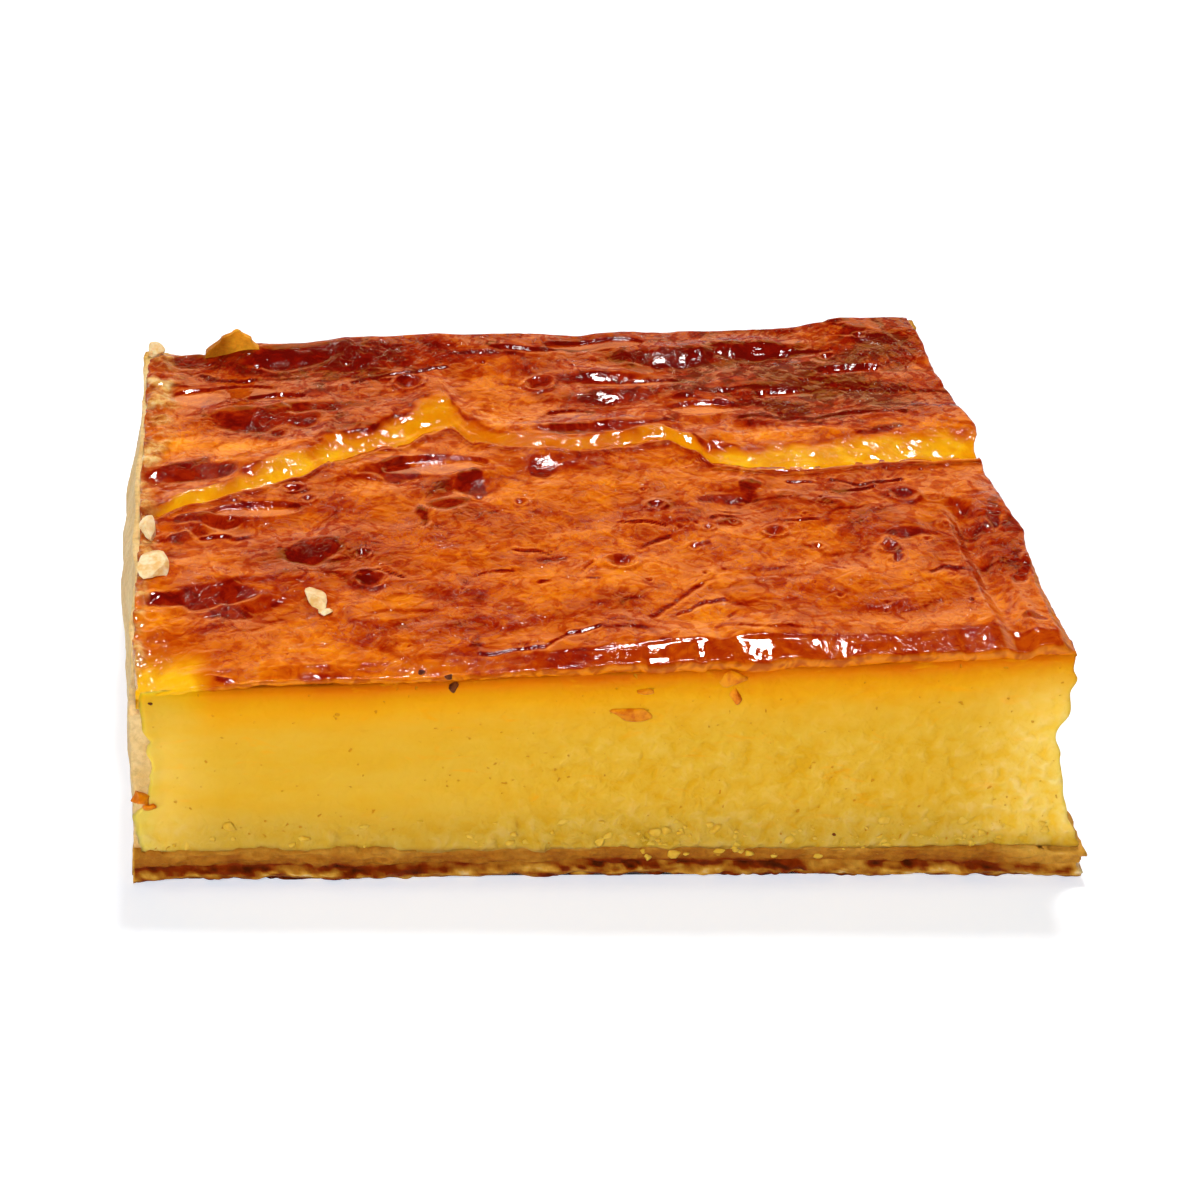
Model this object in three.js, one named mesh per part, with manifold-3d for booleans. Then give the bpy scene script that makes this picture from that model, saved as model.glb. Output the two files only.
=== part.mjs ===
// A corner slice of baked custard flan, cut along its front and right sides.
// A thin pastry case carries it: one plate under the custard, with a wall up its left and back sides.
// The custard fills the case to the brim. Its browned top has torn across the slice, so the skin
// stands back from a long valley, and the cut sides sag between the skin above and the case below.
// Millimetres, +X along the slice, +Y to the back wall, +Z up, standing on z = 0.
import * as THREE from 'three';
import { ImprovedNoise } from 'three/addons/math/ImprovedNoise.js';
import { mergeVertices } from 'three/addons/utils/BufferGeometryUtils.js';
import Module from 'manifold-3d';

const wasm = await Module();
wasm.setup();
const { lerp, smoothstep } = THREE.MathUtils;

// Driving dimensions of the slice.
const sliceWidth = 100.6;
const sliceDepth = 77.4;
const heightLeft = 23.9;
const heightRight = 29.1;
const frontSkew = 2.2;

// The pastry case.
const plateThickness = 3.9;
const wallThickness = 2.2;
const leftWallBulge = 2.0;
const backWallBulge = 0.7;
const rimBelowSkin = 0.5;
const cornerLumpHeight = 0.9;
const flakeDepth = 0.55;

// The pastry horn that stands up from the back rim.
const hornCentreX = -39.7;
const hornWidth = 5.6;
const hornThickness = 1.5;
const hornTipZ = 27.8;
const hornRootZ = 19;

// The custard and its skin.
const fitGap = 0.3;
const cutInset = 4.3;
const lipRadius = 3.2;
const lipDrop = 1.3;
const foldHeight = 0.35;
const waveHeight = 0.55;
const tornCornerDrop = 1.1;
const cutRoughness = 0.3;

const leftX = -sliceWidth / 2;
const rightX = sliceWidth / 2;
const backY = 38.2;
const frontY = backY - sliceDepth;
const custardLeftX = leftX + wallThickness + fitGap;
const custardRightX = rightX - cutInset;
const custardBackY = backY - wallThickness - fitGap;
const custardBottomZ = plateThickness + fitGap;

const noise = new ImprovedNoise();

function ripple(x, y, z, period) {
  return noise.noise(x / period + 7.3, y / period - 2.1, z / period + 4.7);
}

// Value at x of a smooth line through [x, value] stations.
function along(stations, x) {
  const next = stations.findIndex((station) => station[0] > x);
  if (next === 0) {
    return stations[0][1];
  }
  if (next < 0) {
    return stations.at(-1)[1];
  }
  const [x0, value0] = stations[next - 1];
  const [x1, value1] = stations[next];
  return lerp(value0, value1, smoothstep(x, x0, x1));
}

// The top of the slice before anything tore or blistered: it rises to the right in long low waves,
// and where it baked against the back wall it stands a little higher in places: [x, rise].
const backRise = [[-50, 0], [-45, -0.3], [-37, 0.5], [-32, 0.2], [-24, 1.1], [-13, 1], [-3, 0.6], [3, 0],
  [8, 0.5], [16, 0.1], [30, 0], [38, 1], [46, 0.7]];
const backRiseFromY = 24;

function levelZ(x, y) {
  const acrossSlice = (x - leftX) / (custardRightX - leftX);
  const rise = along(backRise, x) * smoothstep(y, backRiseFromY, backY);
  return lerp(heightLeft, heightRight, acrossSlice) + waveHeight * ripple(x * 0.6, y, 0, 13) + rise;
}

// The tear: where its front lip runs, how wide the bare bank behind it is, and how deep it cuts.
const tearLip = [[-50, -4.6], [-40, -0.4], [-30, 6.2], [-20, 11.6], [-14, 12.4], [-8, 9], [0, 7], [10, 9],
  [16, 3.6], [24, 0.4], [34, 2.4], [46, 1.4]];
const tearBank = [[-50, 3], [-38, 6.5], [-28, 6], [-18, 9.5], [-10, 5], [10, 4], [24, 6.5], [46, 7]];
const tearDepth = [[-50, 1.2], [-40, 1.9], [-24, 1.8], [-12, 0.8], [8, 0.7], [20, 1.5], [46, 1.6]];
const tearMiddleY = 4.5;
const tearReach = 12;
const tearCliff = 0.8;
const curledEdge = 2.2;

function tearRelief(x, y) {
  const behindLip = y - along(tearLip, x);
  const bank = along(tearBank, x);
  const depth = along(tearDepth, x);
  if (behindLip < 0) {
    return foldHeight * smoothstep(behindLip, -curledEdge, 0);
  }
  if (behindLip < tearCliff) {
    return lerp(foldHeight, -depth, behindLip / tearCliff);
  }
  if (behindLip < bank) {
    return lerp(-depth, foldHeight, smoothstep(behindLip, tearCliff, bank));
  }
  return foldHeight * (1 - smoothstep(behindLip, bank, bank + 2 * curledEdge));
}

// Hollows where the glaze has pooled: [x, y, radius].
const pools = [[15, 30, 4.6], [26.5, 32, 3.6], [-42, 4.5, 3.6], [-13, 0, 3], [-5, 4, 3], [5, 20, 2.8],
  [16, -5, 2.8], [-22, 4, 2.8]];
const poolDepth = 0.45;

function poolRelief(x, y) {
  let relief = 0;
  for (const [centreX, centreY, radius] of pools) {
    relief -= poolDepth * (1 - smoothstep(Math.hypot(x - centreX, y - centreY) / radius, 0.4, 1.2));
  }
  return relief;
}

// A sunken groove beside the right edge, from near the tear to the front.
const grooveX = 40.3;
const grooveWidth = 1.9;
const grooveDepth = 0.9;
const grooveBackY = -8;

function grooveRelief(x, y) {
  const across = Math.abs(x - grooveX) / grooveWidth;
  const open = 1 - smoothstep(y, grooveBackY - 5, grooveBackY);
  return -grooveDepth * open * (1 - smoothstep(across, 0.2, 1));
}

// The skin rolls down over the cut edges, most on the right half of the front, and has come away
// with a little custard at the front left corner: [x, share of the roll].
const rolledAlong = [[-50, 0.45], [-12, 0.45], [12, 1], [34, 1], [44, 0.3]];

function edgeRelief(x, y) {
  const fromFront = y - frontY;
  const rolledFront = along(rolledAlong, x) * (1 - smoothstep(fromFront, 0, lipRadius)) ** 2;
  const rolledRight = 0.25 * (1 - smoothstep(custardRightX - x, 0, 0.6 * lipRadius)) ** 2;
  const tornCorner = (1 - smoothstep(x - leftX, 1, 9)) * (1 - smoothstep(fromFront, 2, 14));
  return -lipDrop * (rolledFront + rolledRight) - tornCornerDrop * tornCorner;
}

function skinZ(x, y) {
  return levelZ(x, y) + tearRelief(x, y) + poolRelief(x, y) + grooveRelief(x, y) + edgeRelief(x, y);
}

function toSolid(geometry) {
  geometry.deleteAttribute('normal');
  geometry.deleteAttribute('uv');
  const merged = mergeVertices(geometry);
  return new wasm.Manifold(new wasm.Mesh({
    numProp: 3,
    vertProperties: Float32Array.from(merged.attributes.position.array),
    triVerts: Uint32Array.from(merged.index.array),
  }));
}

function toMesh(name, solid, material) {
  const { vertProperties, triVerts } = solid.getMesh();
  const geometry = new THREE.BufferGeometry();
  geometry.setAttribute('position', new THREE.BufferAttribute(vertProperties, 3));
  geometry.setIndex(new THREE.BufferAttribute(triVerts, 1));
  geometry.computeVertexNormals();
  const mesh = new THREE.Mesh(geometry, material);
  mesh.name = name;
  return mesh;
}

function plainBlock(low, high) {
  const box = new THREE.Box3(new THREE.Vector3(...low), new THREE.Vector3(...high));
  const size = box.getSize(new THREE.Vector3());
  const centre = box.getCenter(new THREE.Vector3());
  return toSolid(new THREE.BoxGeometry(size.x, size.y, size.z).translate(centre.x, centre.y, centre.z));
}

// A box with its grid lines where they are asked for, each vertex moved by place().
function shapedBox(columns, rows, levels, place) {
  const geometry = new THREE.BoxGeometry(1, 1, 1, columns.length - 1, rows.length - 1, levels.length - 1);
  const position = geometry.attributes.position;
  const vertex = new THREE.Vector3();
  for (let i = 0; i < position.count; i += 1) {
    vertex.fromBufferAttribute(position, i);
    const column = columns[Math.round((vertex.x + 0.5) * (columns.length - 1))];
    const row = rows[Math.round((vertex.y + 0.5) * (rows.length - 1))];
    const level = levels[Math.round((vertex.z + 0.5) * (levels.length - 1))];
    place(vertex, column, row, level);
    position.setXYZ(i, vertex.x, vertex.y, vertex.z);
  }
  return toSolid(geometry);
}

// Grid lines from start to end, a fine step apart inside the bands and a coarse step elsewhere.
function gridLines(start, end, coarse, fine, bands) {
  const lines = [start];
  while (lines.at(-1) < end - fine) {
    const here = lines.at(-1);
    const inBand = bands.some(([from, to]) => here >= from && here < to);
    lines.push(here + (inBand ? fine : coarse));
  }
  lines[lines.length - 1] = end;
  return lines;
}

// How far each cut face stands out: [height, offset].
const rightFace = [[4, 3.6], [5.2, 3.2], [7.5, 2.1], [11, 1.3], [15, 0.4], [17.8, -0.6], [20.5, 0.5], [23, 0.1],
  [24.6, 0.6], [26, -0.1], [28.5, 0]];
const frontFace = [[4, 0.1], [8, -0.2], [14, -0.45], [20, -0.3], [22.5, 0.1], [24, 0.5], [26, 0.55], [29, 0.5]];

// How far the skin along the right side ends short of the custard under it: [y, distance], negative
// where it laps over. It starts to at this share of the height.
const skinShort = [[-40, 2], [-30, 1.5], [-21, 0.5], [-16, -0.3], [-11, 0.5], [-3, 0.5], [3, 0.2], [8, -1],
  [14, -0.1], [24, 0.4], [30, 0.4], [38, 0.9]];
const skinShortFrom = 0.9;

// The scrap of custard that the knife pushed out of the front right corner: [height, offset].
const cornerScrap = [[22, 0], [24.8, 0.7], [25.8, 0.5], [27.4, 2.9], [29, 2]];
const cornerScrapWidth = 3;

// Burst blisters in the skin: [x, y, radius].
const blisters = [[1.5, -18.5, 1.7], [35, -7, 1.5], [-25.5, -20, 1.6], [-18.5, 26.5, 1.8], [-3, 25, 1.6],
  [19, -14, 1.3], [31, -18.5, 1.3]];
const blisterSides = 9;

function skewAt(x) {
  return frontSkew * (0.5 - (x - leftX) / sliceWidth);
}

// The custard, one solid with its browned skin. It is shaped a little too long at the sides that
// the case hides, and then cut flat there.
function makeCustard() {
  const spare = 2;
  const columns = gridLines(custardLeftX - spare, custardRightX, 2, 1, [[38, 42.5]]);
  const rows = gridLines(frontY, custardBackY + spare, 2, 0.8, [[frontY, frontY + lipRadius], [3.3, 6.3]]);
  const levels = [-0.1, 0.06, 0.18, 0.34, 0.5, 0.66, 0.8, 0.88, 0.935, 0.97, 1];
  const shaped = shapedBox(columns, rows, levels, (vertex, column, row, level) => {
    const nearFront = 1 - smoothstep(row - frontY, 0, 5);
    const nearRight = smoothstep(column - custardRightX, -5, 0);
    const height = lerp(custardBottomZ, skinZ(column, row), level);
    const evenHeight = height * heightRight / levelZ(column, row);
    const warp = Math.exp(-(((row - tearMiddleY) / tearReach) ** 2)) * (along(tearLip, column) - tearMiddleY);
    const roughRight = cutRoughness * ripple(row, height * 1.6, 9, 4);
    const roughFront = cutRoughness * ripple(column, height * 1.6, 5, 5);
    const short = along(skinShort, row) * smoothstep(level, skinShortFrom, 1);
    const scrap = along(cornerScrap, evenHeight) * (1 - smoothstep(row - frontY, 0, cornerScrapWidth));
    const x = column + nearRight * (along(rightFace, evenHeight) + roughRight + scrap - short);
    const frontPush = along(frontFace, evenHeight) + roughFront - skewAt(column);
    const y = row + Math.max(0, level) ** 6 * warp - nearFront * frontPush;
    vertex.set(x, y, lerp(custardBottomZ, skinZ(x, y), level));
  });
  const inCase = plainBlock([custardLeftX, 2 * frontY, custardBottomZ],
    [2 * rightX, custardBackY, 2 * heightRight]);
  let custard = shaped.intersect(inCase);
  for (const [x, y, radius] of blisters) {
    const bubble = new THREE.SphereGeometry(radius, blisterSides, 6).translate(x, y, skinZ(x, y) + 0.55 * radius);
    custard = custard.subtract(toSolid(bubble));
  }
  return custard;
}

// Outer faces of the pastry case: how much of each bulge shows along the wall and up it, and how far
// the baked layers of the plate stand out at its cut edges. The cut foot runs out further at both ends.
const bulgeAlong = [[frontY, 0], [-31, 0.2], [-26, 0.35], [-14, 0.45], [-6, 0.9], [6, 1], [17, 0.85], [26, 0.55],
  [31, 0.3], [backY, 0.15]];
const bulgeUp = [[0, 0.1], [3, 0.35], [9, 0.95], [16, 1], [24, 0.15]];
const layerEdge = [[0, -0.7], [0.9, 0.35], [1.9, -0.8], [2.9, 0.2], [4.6, 0]];
const footOut = [[-50, 0.8], [-36, 0.5], [-26, 0.5], [-18, 0], [12, -0.2], [28, 0.2], [50, 0.6]];

function makePastry() {
  const columns = gridLines(leftX, rightX, 1.8, 1.8, []);
  const rows = gridLines(frontY, backY, 1.9, 1.9, []);
  const levels = [-1, 0.9, 1.9, 2.9, 4.6, 7.5, 11, 15, 19, 22, 24];
  const rimLevel = levels.at(-1);
  const shaped = shapedBox(columns, rows, levels, (vertex, column, row, level) => {
    const flake = flakeDepth * (1.4 * ripple(column, row, level * 5, 3.1) + along(layerEdge, level));
    const nearFront = 1 - smoothstep(row - frontY, 0, 9);
    const aboveCut = smoothstep(level, 2.9, 4.6) * smoothstep(column - rightX, -12, 0);
    let x = column + aboveCut * (along(rightFace, Math.max(level, 4.6)) - cutInset);
    let y = row + nearFront * skewAt(column);
    if (column === leftX) {
      x -= leftWallBulge * along(bulgeAlong, row) * along(bulgeUp, level) + 0.2 * ripple(row, level, 1, 5);
    }
    if (column === rightX) {
      x += flake - 0.5 * flakeDepth;
    }
    if (row === frontY) {
      y -= flake + along(footOut, column) * (1 - smoothstep(level, 2.9, 4.6));
    }
    if (row === backY) {
      y += backWallBulge * along(bulgeUp, level) + 0.3 * ripple(column, level, 2, 6);
    }
    const lump = cornerLumpHeight * (1 - smoothstep(Math.hypot(column - leftX, row - backY), 2, 6));
    const rim = levelZ(column, row) - rimBelowSkin + lump + 0.7 * ripple(column, row, 8, 3.4);
    const upWall = Math.max(0, level - plateThickness) / (rimLevel - plateThickness);
    vertex.set(x, y, lerp(Math.min(level, plateThickness), rim, upWall));
  });
  const onTable = plainBlock([2 * leftX, 2 * frontY, 0], [2 * rightX, 2 * backY, 2 * heightRight]);
  const filling = plainBlock([custardLeftX - fitGap, 2 * frontY, plateThickness],
    [2 * rightX, custardBackY + fitGap, 2 * heightRight]);
  return shaped.intersect(onTable).subtract(filling).add(makeHorn());
}

// A torn flake of the case, wider at its root and broken off to a blunt point.
function makeHorn() {
  const tip = hornTipZ - hornRootZ;
  const outline = new THREE.Shape([[-0.5, 0], [0.5, 0], [0.5, 0.58], [0.15, 0.93], [0.03, 1], [-0.12, 0.94],
    [-0.5, 0.62]].map(([across, up]) => new THREE.Vector2(across * hornWidth, up * tip)));
  const geometry = new THREE.ExtrudeGeometry(outline, { depth: hornThickness, bevelEnabled: false });
  geometry.rotateX(Math.PI / 2);
  geometry.translate(hornCentreX, backY - 0.3, hornRootZ);
  return toSolid(geometry);
}

const pastryMaterial = new THREE.MeshStandardMaterial({ color: 0xb8772a, roughness: 0.75, metalness: 0 });
const custardMaterial = new THREE.MeshStandardMaterial({ color: 0xe9b336, roughness: 0.4, metalness: 0 });

// The slice stands on the middle of its own footprint.
const pieces = new THREE.Group();
pieces.add(toMesh('pastry', makePastry(), pastryMaterial));
pieces.add(toMesh('custard', makeCustard(), custardMaterial));
const extent = new THREE.Box3().setFromObject(pieces);
const centre = extent.getCenter(new THREE.Vector3());
pieces.position.set(-centre.x, -centre.y, 0);

const slice = new THREE.Group();
slice.add(pieces);

export default slice;
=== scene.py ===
import math

import bpy
import numpy as np
from mathutils import Matrix, Vector


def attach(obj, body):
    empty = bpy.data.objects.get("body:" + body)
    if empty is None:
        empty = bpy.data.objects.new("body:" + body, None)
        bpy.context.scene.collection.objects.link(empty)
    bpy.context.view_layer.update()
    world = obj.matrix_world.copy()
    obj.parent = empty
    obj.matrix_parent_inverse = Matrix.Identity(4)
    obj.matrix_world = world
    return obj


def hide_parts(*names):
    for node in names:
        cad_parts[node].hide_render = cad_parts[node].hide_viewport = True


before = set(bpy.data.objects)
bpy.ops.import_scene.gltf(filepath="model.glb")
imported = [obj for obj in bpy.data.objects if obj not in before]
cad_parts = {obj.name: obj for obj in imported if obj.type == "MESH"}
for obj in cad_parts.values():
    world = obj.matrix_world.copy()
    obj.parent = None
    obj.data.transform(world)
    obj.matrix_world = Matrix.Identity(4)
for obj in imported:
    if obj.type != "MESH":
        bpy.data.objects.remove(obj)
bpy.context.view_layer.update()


# ---------------------------------------------------------------------------------------------
# The table and the room
# A white table top under white walls, with a dark ceiling that holds the soft boxes and a large warm
# panel behind the slice. A flat wet surface mirrors the panel, one that leans forward the ceiling.
# ---------------------------------------------------------------------------------------------
TABLE_SIZE = 8.0
TABLE_COLOR = (0.80, 0.84, 0.88, 1)
TABLE_ROUGHNESS = 0.7
# The table glows faintly to the camera alone, as bright as the bare ground of the photo.
TABLE_GLOW = 0.35
TABLE_GLOW_COLOR = (1.0, 1.13, 1.36, 1)
# How bright the walls are by the sine of the height angle, and what share of it the front wall has.
WALL_LIGHT = [(0.0, 0.7), (0.10, 0.45), (0.22, 0.16), (0.40, 0.05), (0.52, 0.02), (1.0, 0.015)]
FRONT_LIGHT = 0.2
# The soft boxes: name, place, width, height, watts, and whether a wet surface mirrors them.
SOFT_BOXES = [("soft_box_over", (0.03, 0.25, 0.70), 0.12, 0.11, 3.2, True),
              ("soft_box_side", (-0.12, 0.02, 0.76), 0.06, 0.05, 0.5, True),
              ("soft_box_front", (-0.35, -0.95, 0.60), 0.60, 0.50, 10.6, False)]
LAMP_AIM = (0, 0, 0.02)
LAMP_COLOR = (1.0, 0.97, 0.92)
# The panel glows warmer towards its top: sines of the height angle with the colours there.
PANEL_LIGHT = [(0.30, (0.82, 0.41, 0.14)), (0.44, (0.72, 0.35, 0.10)), (0.51, (0.68, 0.33, 0.04)),
               (0.59, (0.64, 0.29, 0.015))]
PANEL_STRENGTH = 2.2
# The panel's soft edges: sines of the height angle, low and high, then turns from straight behind, in radians.
PANEL_LOW = (0.10, 0.16)
PANEL_HIGH = (0.572, 0.618)
PANEL_LEFT = (-0.60, -0.45)
PANEL_RIGHT = (0.85, 1.0)

# The camera, as it was fitted to the corners and edges of the slice in the photo.
VIEW_FROM = Vector((-0.0395, -0.2667, 0.1699))
VIEW_PITCH = math.radians(30.38)
VIEW_TURN = math.radians(9.07)
VIEW_ROLL = math.radians(4.32)
VIEW_LENS = 81.0


def add_camera():
    ahead = Vector((math.sin(VIEW_TURN) * math.cos(VIEW_PITCH), math.cos(VIEW_TURN) * math.cos(VIEW_PITCH),
                    -math.sin(VIEW_PITCH)))
    level_right = Vector((math.cos(VIEW_TURN), -math.sin(VIEW_TURN), 0))
    level_up = level_right.cross(ahead)
    right = level_right * math.cos(VIEW_ROLL) + level_up * math.sin(VIEW_ROLL)
    up = level_up * math.cos(VIEW_ROLL) - level_right * math.sin(VIEW_ROLL)
    data = bpy.data.cameras.new("camera")
    data.lens = VIEW_LENS
    data.sensor_width = 36
    data.clip_start = 0.01
    data.clip_end = 50
    camera = bpy.data.objects.new("camera", data)
    bpy.context.scene.collection.objects.link(camera)
    camera.matrix_world = Matrix.Translation(VIEW_FROM) @ Matrix((right, up, -ahead)).transposed().to_4x4()
    bpy.context.scene.camera = camera


def set_inputs(tree, node, inputs):
    """Gives a node's inputs numbers, colours or other nodes' outputs."""
    for name, value in inputs.items():
        if isinstance(value, bpy.types.NodeSocket):
            tree.links.new(value, node.inputs[name])
        else:
            node.inputs[name].default_value = value


def add_node(tree, kind, inputs=None, **settings):
    node = tree.nodes.new(kind)
    for name, value in settings.items():
        setattr(node, name, value)
    set_inputs(tree, node, inputs or {})
    return node


def math_node(tree, operation, first, second=0.0, third=0.0):
    return add_node(tree, "ShaderNodeMath", {0: first, 1: second, 2: third}, operation=operation).outputs[0]


def multiply(tree, first, second):
    return math_node(tree, "MULTIPLY", first, second)


def multiply_add(tree, value, factor, more):
    return math_node(tree, "MULTIPLY_ADD", value, factor, more)


def ramp_node(tree, value, stops):
    """A colour ramp through (place, colour) stops."""
    node = add_node(tree, "ShaderNodeValToRGB", {"Fac": value})
    ramp = node.color_ramp
    while len(ramp.elements) < len(stops):
        ramp.elements.new(1.0)
    for element, (place, color) in zip(ramp.elements, stops):
        element.position = place
        element.color = (*color, 1)
    return node.outputs["Color"]


def soft_step(tree, value, low, high):
    return add_node(tree, "ShaderNodeMapRange", {"Value": value, "From Min": low, "From Max": high},
                    interpolation_type="SMOOTHSTEP").outputs["Result"]


def seen_by_camera(tree):
    return add_node(tree, "ShaderNodeLightPath").outputs["Is Camera Ray"]


def light_room():
    world = bpy.data.worlds.new("room")
    world.use_nodes = True
    bpy.context.scene.world = world
    tree = world.node_tree
    tree.nodes.clear()
    direction = add_node(tree, "ShaderNodeTexCoord").outputs["Generated"]
    to_right, to_back, to_top = add_node(tree, "ShaderNodeSeparateXYZ", {0: direction}).outputs
    by_height = ramp_node(tree, to_top, [(place, (value, value, value)) for place, value in WALL_LIGHT])
    behind = multiply_add(tree, soft_step(tree, to_back, -0.6, 0.0), 1 - FRONT_LIGHT, FRONT_LIGHT)
    walls = multiply(tree, by_height, behind)
    turn = math_node(tree, "ARCTAN2", to_right, to_back)
    panel = multiply(tree, soft_step(tree, to_top, *PANEL_LOW), soft_step(tree, to_top, *reversed(PANEL_HIGH)))
    panel = multiply(tree, panel, soft_step(tree, turn, *PANEL_LEFT))
    panel = multiply(tree, panel, soft_step(tree, turn, *reversed(PANEL_RIGHT)))
    seen = seen_by_camera(tree)
    unseen = math_node(tree, "SUBTRACT", 1.0, seen)
    white = add_node(tree, "ShaderNodeBackground", {
        "Color": (1, 1, 1, 1), "Strength": math_node(tree, "MAXIMUM", walls, seen)})
    warm = add_node(tree, "ShaderNodeBackground", {
        "Color": ramp_node(tree, to_top, PANEL_LIGHT),
        "Strength": multiply(tree, multiply(tree, panel, PANEL_STRENGTH), unseen)})
    both = add_node(tree, "ShaderNodeAddShader", {0: white.outputs[0], 1: warm.outputs[0]})
    output = add_node(tree, "ShaderNodeOutputWorld")
    tree.links.new(both.outputs[0], output.inputs[0])


def add_soft_box(name, place, width, height, watts, mirrored):
    data = bpy.data.lights.new(name, "AREA")
    data.shape = "RECTANGLE"
    data.size = width
    data.size_y = height
    data.energy = watts
    data.color = LAMP_COLOR
    lamp = bpy.data.objects.new(name, data)
    bpy.context.scene.collection.objects.link(lamp)
    lamp.location = place
    lamp.rotation_euler = (Vector(LAMP_AIM) - Vector(place)).to_track_quat("-Z", "Y").to_euler()
    lamp.visible_glossy = mirrored


def new_finish(name):
    """A new material, with its node tree and its shader."""
    material = bpy.data.materials.new(name)
    material.use_nodes = True
    tree = material.node_tree
    return material, tree, tree.nodes["Principled BSDF"]


def table_finish():
    material, tree, shader = new_finish("white_table")
    set_inputs(tree, shader, {"Base Color": TABLE_COLOR, "Roughness": TABLE_ROUGHNESS,
                              "Emission Color": TABLE_GLOW_COLOR,
                              "Emission Strength": multiply(tree, seen_by_camera(tree), TABLE_GLOW)})
    return material


add_camera()
light_room()
for soft_box in SOFT_BOXES:
    add_soft_box(*soft_box)
bpy.context.scene.view_settings.view_transform = "Standard"

bpy.ops.object.select_all(action="DESELECT")
bpy.ops.mesh.primitive_plane_add(size=TABLE_SIZE, location=(0, 0, 0))
table = bpy.context.object
table.name = "table_top"
table.data.materials.append(table_finish())


# ---------------------------------------------------------------------------------------------
# The pastry case
# One thin sheet of pastry, pressed into a tin and baked: a plate under the custard and a wall up the
# left and the back. The knife left its layers open along the front and the right.
# ---------------------------------------------------------------------------------------------
MM = 0.001
SLICE_WIDTH = 100.6
SLICE_DEPTH = 77.4
LEFT_X = -SLICE_WIDTH / 2
RIGHT_X = SLICE_WIDTH / 2
BACK_Y = 38.2
FRONT_Y = BACK_Y - SLICE_DEPTH
HEIGHT_LEFT = 23.9
HEIGHT_RIGHT = 29.1
FRONT_SKEW = 2.2
CUT_INSET = 4.3
PLATE_THICKNESS = 3.9
WALL_THICKNESS = 2.2
WALL_FOOT_Z = 0.4
LEFT_WALL_BULGE = 2.0
BACK_WALL_BULGE = 0.7
FLAKES_END_X = 50.75
FLAKES_END_Y = 39.05
FLAKES_START_Y = -41.38
UNDER_WALL = 0.4
# The plan of the slice has an origin of its own, here in the frame of its whole box.
PLAN_ORIGIN = np.array([0.78, 1.18, 0.0])


def smoothstep(value, low, high):
    share = np.clip((value - low) / (high - low), 0, 1)
    return share * share * (3 - 2 * share)


def mix(first, second, share):
    return first + (second - first) * share


def along(stations, x):
    """Value at x of a smooth line through (x, value) stations."""
    x = np.asarray(x, float)
    places = np.array([station[0] for station in stations], float)
    values = np.array([station[1] for station in stations], float)
    step = np.clip(np.searchsorted(places, x) - 1, 0, len(places) - 2)
    return mix(values[step], values[step + 1], smoothstep(x, places[step], places[step + 1]))


def scatter_value(ix, iy, iz, seed):
    """A fixed number from -1 to 1 for each cell of a lattice."""
    mixed = (ix * 374761393 + iy * 668265263 + iz * 1440662683 + seed * 974634777) & 0x7FFFFFFF
    mixed = ((mixed ^ (mixed >> 13)) * 1274126177) & 0x7FFFFFFF
    mixed = ((mixed ^ (mixed >> 16)) * 1103515245) & 0x7FFFFFFF
    return (mixed >> 8) / float(0x3FFFFF) - 1.0


def ripple(x, y, z, period, seed=1):
    """Smooth noise from -1 to 1 that swings over about one period."""
    spot = [np.asarray(axis, float) / period + 100.0 for axis in np.broadcast_arrays(x, y, z)]
    cell = [np.floor(axis).astype(np.int64) for axis in spot]
    ease = [(axis - base) ** 3 * ((axis - base) * ((axis - base) * 6 - 15) + 10) for axis, base in zip(spot, cell)]
    total = 0.0
    for corner in range(8):
        dx, dy, dz = corner & 1, corner >> 1 & 1, corner >> 2
        weight = ((ease[0] if dx else 1 - ease[0]) * (ease[1] if dy else 1 - ease[1])
                  * (ease[2] if dz else 1 - ease[2]))
        total = total + weight * scatter_value(cell[0] + dx, cell[1] + dy, cell[2] + dz, seed)
    return total


def crumble(x, y, z, period, seed=1, octaves=3):
    """Rougher noise: ripples of ever smaller period and height, from about -1 to 1."""
    total = 0.0
    for octave in range(octaves):
        total = total + ripple(x, y, z, period / 2 ** octave, seed + octave) * 0.55 / 1.8 ** octave
    return total


def skew_at(x):
    return FRONT_SKEW * (0.5 - (x - LEFT_X) / SLICE_WIDTH)


BACK_RISE = [(-50, 0), (-45, -0.3), (-37, 0.5), (-32, 0.2), (-24, 1.1), (-13, 1), (-3, 0.6), (3, 0), (8, 0.5),
             (16, 0.1), (30, 0), (38, 1), (46, 0.7)]


def level_z(x, y):
    """The top of the slice before anything tore or blistered."""
    across = (x - LEFT_X) / (RIGHT_X - CUT_INSET - LEFT_X)
    rise = along(BACK_RISE, x) * smoothstep(y, 24, BACK_Y)
    return mix(HEIGHT_LEFT, HEIGHT_RIGHT, across) + 0.25 * ripple(x * 0.6, y, 0, 13, 3) + rise


def read_vectors(elements, name):
    """One vector of each vertex or face, as rows of X, Y, Z."""
    values = np.empty(len(elements) * 3, np.float32)
    elements.foreach_get(name, values)
    return values.reshape(-1, 3)


def edges_along(mesh, axis):
    """Which edges of an upright block run along one axis."""
    ends = np.empty(len(mesh.edges) * 2, np.int32)
    mesh.edges.foreach_get("vertices", ends)
    span = np.abs(np.diff(read_vectors(mesh.vertices, "co")[ends.reshape(-1, 2)], axis=1)[:, 0])
    return span.argmax(axis=1) == axis


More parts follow.
